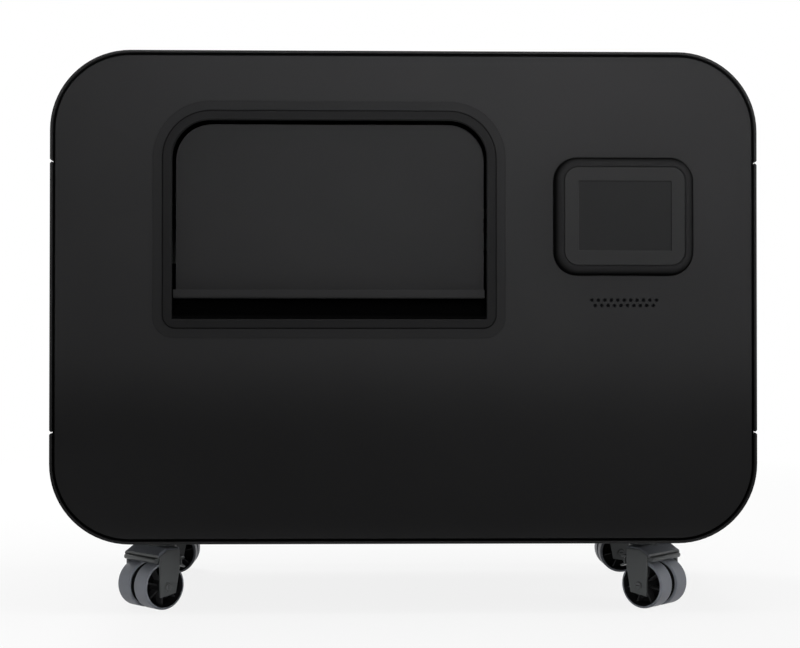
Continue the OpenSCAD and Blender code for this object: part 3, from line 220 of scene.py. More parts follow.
# Painted shade: near-black for the trim's groove, the pane's rounded edge and the top and right sides of the
# display's recess.
PAINTED_SHADE_LOOK = coated("painted_shade_black", (0.0035, 0.0035, 0.0036), 0.60, 0.02, 0.6, 0.02, 1.0)
FLANGE_LOOK = coated("flange_moulding", (0.0150, 0.0150, 0.0154), 0.52, 0.03, 0.6, 0.02, 1.2)


def bezel_painted_shade_look():
    """Black moulding with painted shade: its colour darkens from the face down the flank to near black at the
    panel.
    """
    gap_y, front_y, easing = -238.5 * MM, -244.5 * MM, 1.6
    cloud, grain, grain_depth = 40.0, 0.6, 0.02
    look = Look("bezel_moulding_painted_shade", 0.52, specular=0.02)
    depth = look.make("SeparateXYZ", {"Vector": look.place}).outputs["Y"]
    # Painted shade: the colour falls from the face to near black down the flank towards the panel.
    rise = look.span(depth, 0.0, 1.0, gap_y, front_y)
    eased = look.make("Math", {0: rise, 1: easing}, operation="POWER").outputs[0]
    clouds = look.span(look.noise(cloud, 4.0), 0.95, 1.05)
    tone = look.mix(eased, shade(MOULDING_BLACK, 0.12), shade(MOULDING_BLACK, 1.15))
    look.set("Base Color", look.mix(clouds, (0.0, 0.0, 0.0, 1.0), tone))
    look.relief(look.noise(grain, 2.0), grain_depth)
    return look.material


BEZEL_PAINTED_SHADE_LOOK = bezel_painted_shade_look()


# Dressing of the frame's own nodes

SLOT_OF = {part["node"]: part["material_slot"] for part in frame["record"]["subparts"]}
WELD_DISTANCE = 0.002 * MM
EDGE_ANGLE = radians(28)
EDGE_SEGMENTS = 3


def soften(piece, width):
    """Joins a mesh's split corners and rounds its edges."""
    weld = piece.modifiers.new("weld", "WELD")
    weld.merge_threshold = WELD_DISTANCE
    bevel = piece.modifiers.new("rounded_edges", "BEVEL")
    bevel.width = width * MM
    bevel.segments = EDGE_SEGMENTS
    bevel.limit_method = "ANGLE"
    bevel.angle_limit = EDGE_ANGLE
    bevel.use_clamp_overlap = True
    bevel.harden_normals = True


EDGE_ROUNDING = {"cover": 1.2, "panel": 0.6, "caster_plastic": 1.0, "frame_steel": 0.5,
                 "tractor_plastic": 0.6, "head_metal": 0.7, "motor_metal": 0.8, "supply_metal": 0.6,
                 "inlet_plastic": 0.4}
PLAIN_ROUNDING = 0.3
CRISP_NODES = ("side_plates",)
# Painted shade: the side plates get the darker enamel.
LOOK_OF = SLOT_OF | {"caster_plates": "caster_plastic", "side_plates": "plate_steel"}

for name, node in nodes.items():
    node.data.materials.clear()
    node.data.materials.append(LOOKS[LOOK_OF[name]])
    if name not in CRISP_NODES:
        soften(node, EDGE_ROUNDING.get(SLOT_OF[name], PLAIN_ROUNDING))


# Spans, and outlines in a plane, each a function of how far it is grown

SMALLEST_RADIUS = 0.05


def around(middle, half):
    """The span that reaches as far to each side of its middle."""
    return middle - half, middle + half


def inside(span, inset):
    """A span drawn in at both ends."""
    return span[0] + inset, span[1] - inset


def box_loop(x, z, radius, steps, foot_r=None):
    """A rectangle between limits with round corners, whose foot may have a radius of its own."""
    def at(grow):
        upper = max(radius + grow, SMALLEST_RADIUS)
        lower = upper if foot_r is None else max(foot_r + grow, SMALLEST_RADIUS)
        left, right, foot, top = x[0] - grow, x[1] + grow, z[0] - grow, z[1] + grow
        corners = ((right - upper, top - upper, upper, 0), (left + upper, top - upper, upper, 90),
                   (left + lower, foot + lower, lower, 180), (right - lower, foot + lower, lower, 270))
        turns = [radians(90 * i / steps) for i in range(steps + 1)]
        return [(cx + r * cos(radians(start) + t), cz + r * sin(radians(start) + t))
                for cx, cz, r, start in corners for t in turns]
    return at


def round_loop(x, z, radius, steps=24):
    def at(grow):
        return [(x + (radius + grow) * cos(tau * i / steps),
                 z + (radius + grow) * sin(tau * i / steps)) for i in range(steps)]
    return at


# Mesh building

ROUND_STEPS = 4


def strip_slot(slots, strip):
    """The material of a strip: slots is that of all the strips, or of those that it names."""
    return slots.get(strip, 0) if isinstance(slots, dict) else slots


def loft(bm, rings, closed=False, slots=0):
    """Joins rings of equal length with faces, and returns the rings' vertices."""
    made = [[bm.verts.new(Vector(point) * MM) for point in ring] for ring in rings]
    for strip, (a, b) in enumerate(zip(made, made[1:] + made[:1] if closed else made[1:])):
        for i in range(len(a)):
            j = (i + 1) % len(a)
            face = bm.faces.new((a[i], a[j], b[j], b[i]))
            face.material_index = strip_slot(slots, strip)
    return made


def cap(bm, rings, slot=0):
    """Fills the flat region bounded by rings of vertices, with a crisp border."""
    edges = []
    for ring in rings:
        for a, b in zip(ring, ring[1:] + ring[:1]):
            edge = bm.edges.get((a, b))
            edge.smooth = False
            edges.append(edge)
    filled = bmesh.ops.triangle_fill(bm, edges=edges, use_beauty=True)
    for face in filled["geom"]:
        if isinstance(face, bmesh.types.BMFace):
            face.material_index = slot


def swept(loop, profile):
    """Rings of a profile, given as growth and depth, carried round an outline."""
    return [[(x, depth, z) for x, z in loop(grow)] for grow, depth in profile]


def raised(loop, profile):
    """Rings of a profile, given as growth and height, carried up from an outline across X and Y."""
    return [[(x, y, height) for x, y in loop(grow)] for grow, height in profile]


def plate(bm, rim, holes, face, back, rounding):
    """A flat plate across Y with cut-outs; the edges of its face are rounded."""
    inward = copysign(1.0, back - face)
    faces, backs = [], []
    for loop, side in [(rim, -1)] + [(hole, 1) for hole in holes]:
        turns = [pi / 2 * i / ROUND_STEPS for i in range(ROUND_STEPS + 1)]
        profile = [(side * rounding * (1 - sin(t)), face + inward * rounding * (1 - cos(t)))
                   for t in turns] + [(0.0, back)]
        rings = loft(bm, swept(loop, profile))
        faces.append(rings[0])
        backs.append(rings[-1])
    cap(bm, faces)
    cap(bm, backs)


def arc(centre, radius, start, end, steps=6):
    """Points of an arc in growth and depth; a second radius, along the depth, makes it an ellipse."""
    across, along = radius if isinstance(radius, tuple) else (radius, radius)
    turns = [radians(start + (end - start) * i / steps) for i in range(steps + 1)]
    return [(centre[0] + across * cos(t), centre[1] + along * sin(t)) for t in turns]


def put(name, data):
    """Puts an object into the scene."""
    thing = bpy.data.objects.new(name, data)
    bpy.context.scene.collection.objects.link(thing)
    return thing


def make_piece(name, bm, looks, smooth_angle=40.0, rounding=0.0):
    """Turns a built mesh into a piece with its materials and smooth rounded edges."""
    bmesh.ops.recalc_face_normals(bm, faces=bm.faces)
    for face in bm.faces:
        face.smooth = True
    for edge in bm.edges:
        folded = len(edge.link_faces) == 2 and edge.calc_face_angle() > radians(smooth_angle)
        edge.smooth = edge.smooth and not folded
    mesh = bpy.data.meshes.new(name)
    bm.to_mesh(mesh)
    bm.free()
    for look in looks:
        mesh.materials.append(look)
    piece = put(name, mesh)
    if rounding:
        soften(piece, rounding)
    level = piece.modifiers.new("flat_faces", "WEIGHTED_NORMAL")
    level.keep_sharp = True
    return piece


def stand_in(name, node, bm, *others, look=None, **finish):
    """Makes a piece that is shown in place of a frame node and moves with the node's body.

    Its first look is that of the node's slot, unless it has its own."""
    piece = make_piece(name, bm, [look or LOOKS[SLOT_OF[node]], *others], **finish)
    body, = body_of(nodes[node])
    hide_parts(node)
    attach(piece, body)


def added(name, body, slot, bm, look=None):
    """Makes a piece that the frame has no node for, such as small screws, and that moves with a body."""
    piece = make_piece(name, bm, [look or LOOKS[slot]])
    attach(piece, body)


# Shapes built along +Z

UP = (0, 0, 1)


@contextmanager
def placed(bm, matrix):
    """Moves what is built inside the block to its place."""
    start = len(bm.verts)
    yield
    bm.verts.ensure_lookup_table()
    bmesh.ops.transform(bm, matrix=matrix, verts=bm.verts[start:])


def seat(place, axis=UP):
    """The matrix that sets a shape built along +Z at a place, pointing along an axis."""
    turn = Vector(UP).rotation_difference(Vector(axis))
    return Matrix.Translation(Vector(place) * MM) @ turn.to_matrix().to_4x4()


def stack(bm, loop, profile, slots=0):
    """Carries an outline across X and Y up a profile of growth and height, and closes both ends."""
    rings = loft(bm, raised(loop, profile), False, slots)
    for ring, strip in ((rings[0], 0), (rings[-1], len(rings) - 2)):
        bm.faces.new(ring).material_index = strip_slot(slots, strip)


def bar(radius, low, high, edge):
    """The profile of a bar with bevelled ends."""
    return [(radius - edge, low), (radius, low + edge), (radius, high - edge), (radius - edge, high)]


def block(bm, x, y, z, rounding=0.3, slot=0):
    """A box between limits with rounded edges."""
    stack(bm, box_loop(x, y, rounding, 2), bar(0.0, z[0], z[1], rounding), slot)


def turned(bm, profile, steps=32, slots=0):
    """A shape turned about Z from a profile of radius and height."""
    stack(bm, round_loop(0.0, 0.0, 0.0, steps), profile, slots)


def turned_ring(bm, profile, steps, slots=0):
    """A ring turned about Z from a closed profile of radius and height."""
    loft(bm, raised(round_loop(0.0, 0.0, 0.0, steps), profile), True, slots)


def socket_screw(bm, place, axis, radius, height, slot=0):
    """A low domed screw head with a hexagon socket, on a place and pointing along an axis."""
    steps = 24
    socket_r, socket_depth, rim = 0.5 * radius, 0.6 * height, 0.3
    turns = [tau * i / steps for i in range(steps)]

    def hexagon(turn):
        return socket_r * cos(radians(30)) / cos(turn % radians(60) - radians(30))

    dome = [(radius * cos(radians(a)) ** 0.5, height * (rim + (1 - rim) * sin(radians(a))))
            for a in (0, 20, 40, 60)]
    rings = [[(r * cos(t), r * sin(t), h) for t in turns] for r, h in [(radius, 0.0)] + dome]
    rings += [[(hexagon(t) * cos(t), hexagon(t) * sin(t), h) for t in turns]
              for h in (dome[-1][1], dome[-1][1] - socket_depth)]
    with placed(bm, seat(place, axis)):
        made = loft(bm, rings, False, slot)
    for ring in (made[0], made[-1]):
        bm.faces.new(ring).material_index = slot


# Levels and outlines shared by the front and the rear

FINE_STEPS = 24
PANEL_EDGE = 0.5
FRONT_EDGE = -233.25
PANEL_FACE = -231.75
PANEL_BACK = -227.75
PANEL_INSET = 6.5
CABINET_X = (-442.0, 442.0)
CABINET_Z = (88.0, 704.0)
CABINET_RADIUS = 100.0
WINDOW_X = (-290.5, 102.5)
WINDOW_Z = (368.5, 617.0)
WINDOW_RADIUS = 48.0
TOUCH_X = (186.5, 361.5)
TOUCH_Z = (423.5, 570.5)
TOUCH_RADIUS = 29.5

cabinet_loop = box_loop(CABINET_X, CABINET_Z, CABINET_RADIUS, FINE_STEPS)
touch_loop = box_loop(TOUCH_X, TOUCH_Z, TOUCH_RADIUS, FINE_STEPS)


def window_loop(grow):
    """The window's outline; its corners at the sill open out faster than the rest."""
    knots = ((0.0, 1.5), (2.5, 4.2), (11.0, 16.0), (24.0, 27.0))
    foot_r = knots[-1][1]
    for (start, low), (end, high) in zip(knots, knots[1:]):
        if grow <= end:
            foot_r = low + (high - low) * (grow - start) / (end - start)
            break
    return box_loop(WINDOW_X, WINDOW_Z, WINDOW_RADIUS, 20, foot_r - grow)(grow)


def add_front_panel():
    window_cut, touch_cut = 2.7, 0.7
    hole_r, hole_pitch, row_pitch, middle = 2.2, 8.1, 6.8, (275.0, 389.0)
    holes = [lambda grow: window_loop(window_cut + grow), lambda grow: touch_loop(touch_cut + grow)]
    for row, count in enumerate((11, 10)):
        for i in range(count):
            holes.append(round_loop(middle[0] + (i - (count - 1) / 2) * hole_pitch,
                                    middle[1] + (0.5 - row) * row_pitch, hole_r))
    bm = bmesh.new()
    plate(bm, lambda grow: cabinet_loop(grow - PANEL_INSET), holes, PANEL_FACE, PANEL_BACK, PANEL_EDGE)
    stand_in("front_panel_coated", "front_panel", bm)


def add_window_trim():
    bead_face, flange_face, groove_foot = -234.25, -232.95, -232.05
    bead, groove, flange, wall = 11.0, 1.3, 24.0, 2.5
    inner_r, outer_r, step_r, lip_r = 1.8, 0.6, 0.3, 0.7
    shaded_seam, flat = 1, 2
    profile = [(0.0, PANEL_BACK)]
    profile += arc((inner_r, bead_face + inner_r), inner_r, 180, 270)
    profile += arc((bead - outer_r, bead_face + outer_r), outer_r, 270, 360, 4)
    groove_at = len(profile) - 1
    profile += [(bead, groove_foot), (bead + groove, groove_foot)]
    flange_at = len(profile)
    profile += arc((bead + groove + step_r, flange_face + step_r), step_r, 180, 270, 3)
    profile += arc((flange - lip_r, flange_face + lip_r), lip_r, 270, 360, 4)
    flange_end = len(profile)
    profile += [(flange, PANEL_FACE), (wall, PANEL_FACE), (wall, PANEL_BACK)]
    # Painted shade: the groove's strips get the near-black look; the flange gets its own moulding.
    slots = dict.fromkeys(range(groove_at, flange_at), shaded_seam)
    slots |= dict.fromkeys(range(flange_at, flange_end), flat)
    bm = bmesh.new()
    loft(bm, swept(window_loop, profile), True, slots)
    stand_in("window_trim_moulded", "window_trim", bm, PAINTED_SHADE_LOOK, FLANGE_LOOK)


def add_touch_bezel():
    flange, flange_back = 7.0, -225.25
    rim, proud = 11.2, 12.0
    shelf, shelf_back, opening = -11.7, -242.25, -24.5
    profile = [(opening, shelf_back), (opening, flange_back), (flange, flange_back), (flange, PANEL_BACK),
               (0.0, PANEL_BACK)]
    profile += arc((-rim, FRONT_EDGE), (rim, proud), 360, 270, 18)
    profile += [(shelf, FRONT_EDGE - proud), (shelf, shelf_back)]
    bm = bmesh.new()
    loft(bm, swept(touch_loop, profile), True)
    stand_in("touch_bezel_moulded", "touch_bezel", bm, look=BEZEL_PAINTED_SHADE_LOOK)


def add_touch_glass():
    """The pane: its rounded edge is painted dark as the shade of its gap with the bezel, and the display lies
    a little under its face, with painted shadow on its sunk sides at the top and right.
    """
    face, back, inset, edge_r, edge_steps = -245.25, -242.25, -12.0, 0.9, 4
    display_x, display_z, display_r, sunk, slope = (216.4, 331.6), (453.8, 540.2), 0.8, 0.5, 0.7
    screen, black = 1, 2
    display = box_loop(display_x, display_z, display_r, FINE_STEPS)
    outer = [(inset, back)] + arc((inset - edge_r, face + edge_r), edge_r, 360, 270, edge_steps)
    bm = bmesh.new()
    rings = loft(bm, swept(touch_loop, outer) + swept(display, [(slope, face), (0.0, face + sunk)]), False,
                 dict.fromkeys(range(edge_steps), black))
    cap(bm, [rings[0]])
    cap(bm, [rings[-1]], screen)
    top = max(vert.co.z for vert in rings[-1])
    right = max(vert.co.x for vert in rings[-1])
    # Painted shadow: the sunk sides at the top and right of the display get the dark look, as if shaded by
    # light from the upper right.
    for low, high in zip(rings[-2], rings[-1]):
        for side in low.link_faces:
            middle = side.calc_center_median()
            if high in side.verts and (middle.z > top or middle.x > right):
                side.material_index = black
    stand_in("touch_pane_with_display", "touch_glass", bm, LOOKS["display"], PAINTED_SHADE_LOOK, smooth_angle=20.0)


add_front_panel()
add_window_trim()
add_touch_bezel()
add_touch_glass()


# Rear panel and its screws

REAR_FACE = 235.25
REAR_BACK = 231.25
LID_NOTCH_HALF = 332.0
LID_NOTCH_FOOT = 681.0
PAPER_Z = 448.0
SCREW_INSET = 9.9
SCREW_SIDE_Z = 110.0
SCREW_FOOT_X = 200.0
MIDDLE_Z = sum(CABINET_Z) / 2
REAR_SCREWS = [(x, z) for x in inside(CABINET_X, SCREW_INSET) for z in around(MIDDLE_Z, SCREW_SIDE_Z)]
REAR_SCREWS += [(x, CABINET_Z[0] + SCREW_INSET) for x in around(0.0, SCREW_FOOT_X)]


def rear_rim(grow):
    """The rear panel's outline, with the notch that the lid's flange swings through."""
    whole = cabinet_loop(grow - PANEL_INSET)
    half, foot, top = LID_NOTCH_HALF - grow, LID_NOTCH_FOOT + grow, whole[FINE_STEPS][1]
    notch = [(half, top), (half, foot), (-half, foot), (-half, top)]
    return whole[:FINE_STEPS + 1] + notch + whole[FINE_STEPS + 1:]


def add_rear_panel():
    slot_margin, slot_half, slot_r = 6.0, 9.0, 1.5
    inlet_x, inlet_z, inlet_r = (225.7, 274.3), (144.2, 171.8), 1.0
    vents, vent_x, vent_pitch, vent_half, vent_half_h, vent_r = 12, 210.0, 11.0, 2.25, 35.0, 2.0
    screw_hole = 1.8
    holes = [box_loop(inside(WINDOW_X, slot_margin), around(PAPER_Z, slot_half), slot_r, 4),
             box_loop(inlet_x, inlet_z, inlet_r, 4)]
    holes += [box_loop(around(vent_x + i * vent_pitch, vent_half), around(MIDDLE_Z, vent_half_h),
                       vent_r, 5) for i in range(vents)]
    holes += [round_loop(x, z, screw_hole, 16) for x, z in REAR_SCREWS]
    bm = bmesh.new()
    plate(bm, rear_rim, holes, REAR_FACE, REAR_BACK, PANEL_EDGE)
    stand_in("rear_panel_coated", "rear_panel", bm)


def add_rear_screws():
    shank_r, shank, tip, head_r, head_h = 1.6, 12.0, 0.5, 3.0, 2.2
    bm = bmesh.new()
    for x, z in REAR_SCREWS:
        socket_screw(bm, (x, REAR_FACE, z), (0, 1, 0), head_r, head_h)
        with placed(bm, seat((x, REAR_FACE, z), (0, -1, 0))):
            turned(bm, [(shank_r, 0.0), (shank_r, shank - tip), (shank_r - tip, shank)], 16)
    stand_in("panel_screws_domed", "panel_screws", bm)


def add_hinge_screws():
    """Screws in the lid's hinges: four in each leaf on the cabinet and two in each strap on the lid."""
    face, head_r, head_h, hinge_x = 237.75, 3.2, 1.5, 250.0
    for name, body, across, heights in (("lid_hinge_leaf_screws", "cabinet", 18.0, (651.0, 666.0)),
                                        ("lid_hinge_strap_screws", "lid", 7.5, (692.5,))):
        bm = bmesh.new()
        for middle in around(0.0, hinge_x):
            for x in around(middle, across):
                for z in heights:
                    socket_screw(bm, (x, face, z), (0, 1, 0), head_r, head_h)
        added(name, body, "hinge_steel", bm)


add_rear_panel()
add_rear_screws()
add_hinge_screws()


# Near-black strips that close the covers' seams and the lid's notch from inside, as painted shade

SEAM_RISE = 169.0
COVER_INSIDE = 439.0
HOOPS_INSIDE_Y = (-207.75, 211.25)
HOOPS_UNDERSIDE = 690.7


def add_seam_strips():
    """Bent strips, flat on a side cover, then clear of the next one, and a bar behind the lid's notch, all
    near-black as painted shade.
    """
    thick, foot, bend, clear, lean_start, lean_end, lean = 2.4, 12.0, 1.0, 0.4, 6.0, 9.0, 1.6
    section = [(0.0, -foot), (0.0, -bend), (clear, 0.0), (clear, lean_start), (clear + lean, lean_end),
               (thick + lean, lean_end), (thick, lean_start), (thick, -foot)]
    bm = bmesh.new()
    for side in (-1, 1):
        for shaded_seam in (-1, 1):
            rings = loft(bm, [[(side * (COVER_INSIDE - depth), y, MIDDLE_Z + shaded_seam * (SEAM_RISE + past))
                               for depth, past in section] for y in HOOPS_INSIDE_Y])
            for ring in rings:
                bm.faces.new(ring)
    block(bm, around(0.0, LID_NOTCH_HALF), (REAR_BACK - thick, REAR_BACK),
          (LID_NOTCH_FOOT - foot, HOOPS_UNDERSIDE))
    added("cover_seam_shade_strips", "cabinet", "black_steel", bm)


add_seam_strips()


# Casters: forks of pressed sheet over twin wheels

CASTER_X = 312.0
CASTER_FRONT_Y = -158.25
CASTER_REAR_Y = 161.75
FRONT_YAW = radians(48)
REAR_YAW = radians(90)
CASTER_TRAIL = 16.0
WHEEL_RADIUS = 30.0
WHEEL_WIDTH = 26.0
WHEEL_GAP = 10.0
SPOKES = 7
FORK_HALF = 38.0
# Black of the wheels' dishes; on the axles it is painted shade in the grooves round the heads and in their
# slots.
RIM_BLACK_AND_PAINTED_SHADE = coated("rim_black_and_painted_shade", (0.006, 0.006, 0.0065), 0.55, 0.05, 0.8, 0.02, 1.2)
# Painted light: a lighter slate for the forks' faces that lean up or down, as if lit there under the cabinet.
HOOD_PAINTED_LIGHT = coated("hood_slate_painted_light", shade(SLATE, 1.7), 0.44, 0.30, 0.7, 0.03, 1.4)
SPOKE_BLACK = coated("spoke_black", (0.014, 0.014, 0.015), 0.50, 0.20, 0.8, 0.02, 1.5)


def wheel(bm):
    """One wheel along +Z from its inner face: a tread with a narrow lip round a black dish with spokes."""
    edge_r, lip, rim_in, rim_step, dish_in, dish_fall, dish_depth = 2.2, 0.8, 25.0, 1.0, 0.4, 0.6, 4.0
    hub_r, hub_edge, hub_clear, bore_r, sink = 8.5, 0.8, 0.2, 4.2, 0.5
    web, spoke_half, spoke_z, spoke_edge = (4.0, 7.6), 0.9, (5.8, 20.0), 0.4
    black, spoke = 1, 2
    dish_r, hub_foot = WHEEL_RADIUS - edge_r - lip, hub_clear - WHEEL_GAP / 2
    profile = [(rim_in, rim_step), (dish_r, 0.0)]
    profile += arc((WHEEL_RADIUS - edge_r, edge_r), edge_r, 270, 360, 5)
    profile += arc((WHEEL_RADIUS - edge_r, WHEEL_WIDTH - edge_r), edge_r, 0, 90, 5)
    profile += [(dish_r, WHEEL_WIDTH)]
    dish_at = len(profile) - 1
    profile += [(dish_r - dish_in, WHEEL_WIDTH - dish_fall), (rim_in, WHEEL_WIDTH - dish_depth)]
    turned_ring(bm, profile, 96, dict.fromkeys([0, *range(dish_at, len(profile))], black))
    turned_ring(bm, [(hub_r - sink, web[0]), (rim_in + sink, web[0]), (rim_in + sink, web[1]),
                     (hub_r - sink, web[1])], 48, black)
    turned_ring(bm, [(bore_r, hub_foot), (hub_r, hub_foot), (hub_r, WHEEL_WIDTH - hub_edge),
                     (hub_r - hub_edge, WHEEL_WIDTH), (bore_r, WHEEL_WIDTH)], 48, black)
    for i in range(SPOKES):
        with placed(bm, Matrix.Rotation(tau * i / SPOKES, 4, "Z")):
            block(bm, (hub_r - sink, rim_in + sink), around(0.0, spoke_half), spoke_z, spoke_edge, spoke)


def fork_section(y, top, low):
    """The fork's section across its legs at a place along its run: an inverted U with round bends."""
    sheet, bend_r, least_r, most = 3.0, 4.5, 0.5, 0.9
    bend = min(bend_r, most * (top - low))

    def over(inset, radius):
        x, z = FORK_HALF - inset, top - inset
        turns = [radians(15 * i) for i in range(7)]
        right = [(x, low)]
        right += [(x - radius + radius * cos(t), z - radius + radius * sin(t)) for t in turns]
        return right + [(-a, b) for a, b in reversed(right)]

    inner_bend = min(max(bend - sheet, least_r), most * (top - sheet - low))
    return [(x, y, z) for x, z in over(0.0, bend) + over(sheet, inner_bend)[::-1]]


def fork(bm):
    """A fork along its run: a flat top under the swivel, a hood that falls to the front, and two legs."""
    race_y, leg_rear, leg_front, tip_y = -17.0, 2.0, -28.0, -30.5
    top_z, top_t, race_r, hood_drop, lip = 78.8, 4.0, 19.0, 8.3, 4.2
    shoulder, foot_rear, foot_rear_z, foot_z = 52.0, -4.0, 21.0, 17.0
    edge, fillet, painted_light_facing = 0.4, 2.0, 0.5

    def top(y):
        return top_z - hood_drop * max(0.0, (race_y - y) / (race_y - tip_y))

    def foot(y):
        return foot_z + (foot_rear_z - foot_z) * (y - leg_front) / (foot_rear - leg_front)

    stations = [(leg_rear, shoulder), (foot_rear, foot_rear_z), (race_y, foot(race_y)),
                (leg_front + edge, foot_z)]
    for turn in (0, 30, 60, 90):
        y = leg_front - fillet * (1 - cos(radians(turn)))
        stations.append((y, top(y) - lip - fillet * (1 - sin(radians(turn)))))
    stations.append((tip_y, top(tip_y) - lip))
    made = loft(bm, [fork_section(y, top(y), low) for y, low in stations])
    for ring in (made[0], made[-1]):
        cap(bm, [ring])
    turned(bm, bar(race_r, top_z - top_t, top_z, edge), 48)
    # Painted light: faces leaning up or down get the lighter hood look, as if lit under the cabinet; the rest
    # keep the fork's grey.
    for face in bm.faces:
        face.normal_update()
        face.material_index = int(abs(face.normal.z) > painted_light_facing)


def axle(bm):
    """An axle along Z about its middle, with a slotted head in a collar at each end; the groove round each
    head and its slot are dark painted shade.
    """
    shaft_r, collar_r, head_r, collar_h, head_h, groove = 4.0, 5.5, 4.5, 1.0, 1.8, 0.3
    edge, head_edge, slot_half, slot_half_w, slot_depth, slot_rise = 0.2, 0.5, 3.0, 0.5, 0.1, 0.05
    collar, head, black = FORK_HALF + collar_h, FORK_HALF + head_h, 1
    half = [(shaft_r, FORK_HALF), (collar_r, FORK_HALF), (collar_r, collar - edge), (collar_r - edge, collar),
            (head_r + groove, collar)]
    groove_at = len(half) - 1
    half += [(head_r + groove, FORK_HALF + groove), (head_r, FORK_HALF + groove), (head_r, head - head_edge),
             (head_r - head_edge, head)]
    upper = [len(half) + strip for strip in (groove_at, groove_at + 1)]
    lower = [2 * len(half) - 2 - strip for strip in upper]
    whole = [(radius, -height) for radius, height in reversed(half)] + half
    # Painted shade: the grooves round the heads and the slot marks get the black.
    turned(bm, whole, 32, dict.fromkeys(upper + lower, black))
    for end in (-1, 1):
        with placed(bm, seat((0, 0, 0), (0, 0, end))):
            block(bm, around(0.0, slot_half), around(0.0, slot_half_w), (head - slot_depth, head + slot_rise),
                  slot_rise, black)


def add_caster(name, side, place, yaw):
    here = seat((side * CASTER_X, place, 0.0)) @ Matrix.Rotation(side * yaw, 4, "Z")
    wheels = bmesh.new()
    for end in (-1, 1):
        with placed(wheels, here @ seat((end * WHEEL_GAP / 2, -CASTER_TRAIL, WHEEL_RADIUS), (end, 0, 0))):
            wheel(wheels)
    stand_in(name + "_wheels_spoked", name + "_wheels", wheels, RIM_BLACK_AND_PAINTED_SHADE, SPOKE_BLACK)
    pressed = bmesh.new()
    with placed(pressed, here):
        fork(pressed)
    stand_in(name + "_fork_pressed", name + "_fork", pressed, HOOD_PAINTED_LIGHT, smooth_angle=25.0, rounding=0.9)
    bolt = bmesh.new()
    with placed(bolt, here @ seat((0, -CASTER_TRAIL, WHEEL_RADIUS), (1, 0, 0))):
        axle(bolt)
    stand_in(name + "_axle_slotted", name + "_axle", bolt, RIM_BLACK_AND_PAINTED_SHADE)


for end, place, yaw in (("front", CASTER_FRONT_Y, FRONT_YAW), ("rear", CASTER_REAR_Y, REAR_YAW)):
    add_caster(end + "_left", -1, place, yaw)
    add_caster(end + "_right", 1, place, yaw)


# Mechanism: motors, belts, pulleys and what the head carries

CAST_METAL = metal("cast_aluminium", (0.50, 0.50, 0.51), 0.44)
COPPER = metal("copper_winding", (0.62, 0.27, 0.12), 0.34, (1, 1, 0.2))
BRASS = metal("turned_brass", (0.66, 0.48, 0.20), 0.30)
NYLON_CREAM = coated("cream_nylon", (0.52, 0.50, 0.43), 0.46, 0.4, 0.8, 0.02, 1.1)
CHIP_BLACK_AND_PAINTED_SHADE = coated("chip_moulding_and_painted_shade", (0.012, 0.012, 0.013), 0.55, 0.3, 0.5, 0.02, 1.3)
SLEEVE_BLUE = coated("capacitor_sleeve", (0.012, 0.018, 0.050), 0.30, 0.5, 0.8, 0.01, 1.2)

MOTOR_HALF = 28.0
MOTOR_LENGTH = 56.0
RAIL_Z = 506.0
RAIL_HALF = 30.0
HEAD_X = (-126.0, -62.0)
HEAD_Y = 61.75
HEAD_FRONT = 16.75
HEAD_Z = (484.0, 528.0)
SHAFT_Y = -18.25
SHAFT_Z = 423.745
FEED_Z = 328.745
CARRIAGE_X = (-294.0, 106.0)
BEAM_REAR = 124.25
RIGHT_PLATE_INSIDE = 135.5
TOOTH_PITCH = 5.0
TOOTH_HEIGHT = 0.8
BELT_THICK = 1.5
BELT_PLAY = 0.1
FEED_PULLEY_R = 19.0
FEED_MOTOR_PULLEY_R = 9.5
CARRIAGE_PULLEY_R = 11.0


def stepper(bm):
    """A stepper motor along +Z: cast ends with screws, a stack of laminations and its connector."""
    corner, cast, rounding, screw_at, screw_r, head_h = 6.0, 9.0, 0.8, 23.4, 3.0, 1.4
    sheets, inset, groove, sheet_span = 18, 1.0, 0.5, (0.2, 0.8)
    rear, bare, cream = MOTOR_LENGTH - head_h, 1, 2
    plug_half, plug_out, plug_sink, plug_z, plug_edge = 9.0, 3.5, 1.0, (rear - 8.0, rear - 1.5), 0.5
    outline = box_loop(around(0.0, MOTOR_HALF), around(0.0, MOTOR_HALF), corner, 4)
    for low, high in ((0.0, cast), (rear - cast, rear)):
        stack(bm, outline, bar(0.0, low, high, rounding), bare)
    pitch = (rear - 2 * cast) / sheets
    profile = []
    for i in range(sheets):
        base = cast + i * pitch
        profile += [(-inset - groove, base)] + [(-inset, base + share * pitch) for share in sheet_span]
    profile.append((-inset - groove, rear - cast))
    stack(bm, outline, profile)
    for x in around(0.0, screw_at):
        for y in around(0.0, screw_at):
            socket_screw(bm, (x, y, rear), UP, screw_r, head_h, bare)
    block(bm, around(0.0, plug_half), (-MOTOR_HALF - plug_out, -MOTOR_HALF + plug_sink), plug_z, plug_edge,
          cream)


def add_motors():
    bm = bmesh.new()
    with placed(bm, seat((CARRIAGE_X[1], BEAM_REAR, RAIL_Z), (0, 1, 0))):
        stepper(bm)
    with placed(bm, seat((RIGHT_PLATE_INSIDE, SHAFT_Y, FEED_Z), (-1, 0, 0))):
        stepper(bm)
    stand_in("stepper_motors_laminated", "stepper_motors", bm, CAST_METAL, NYLON_CREAM)


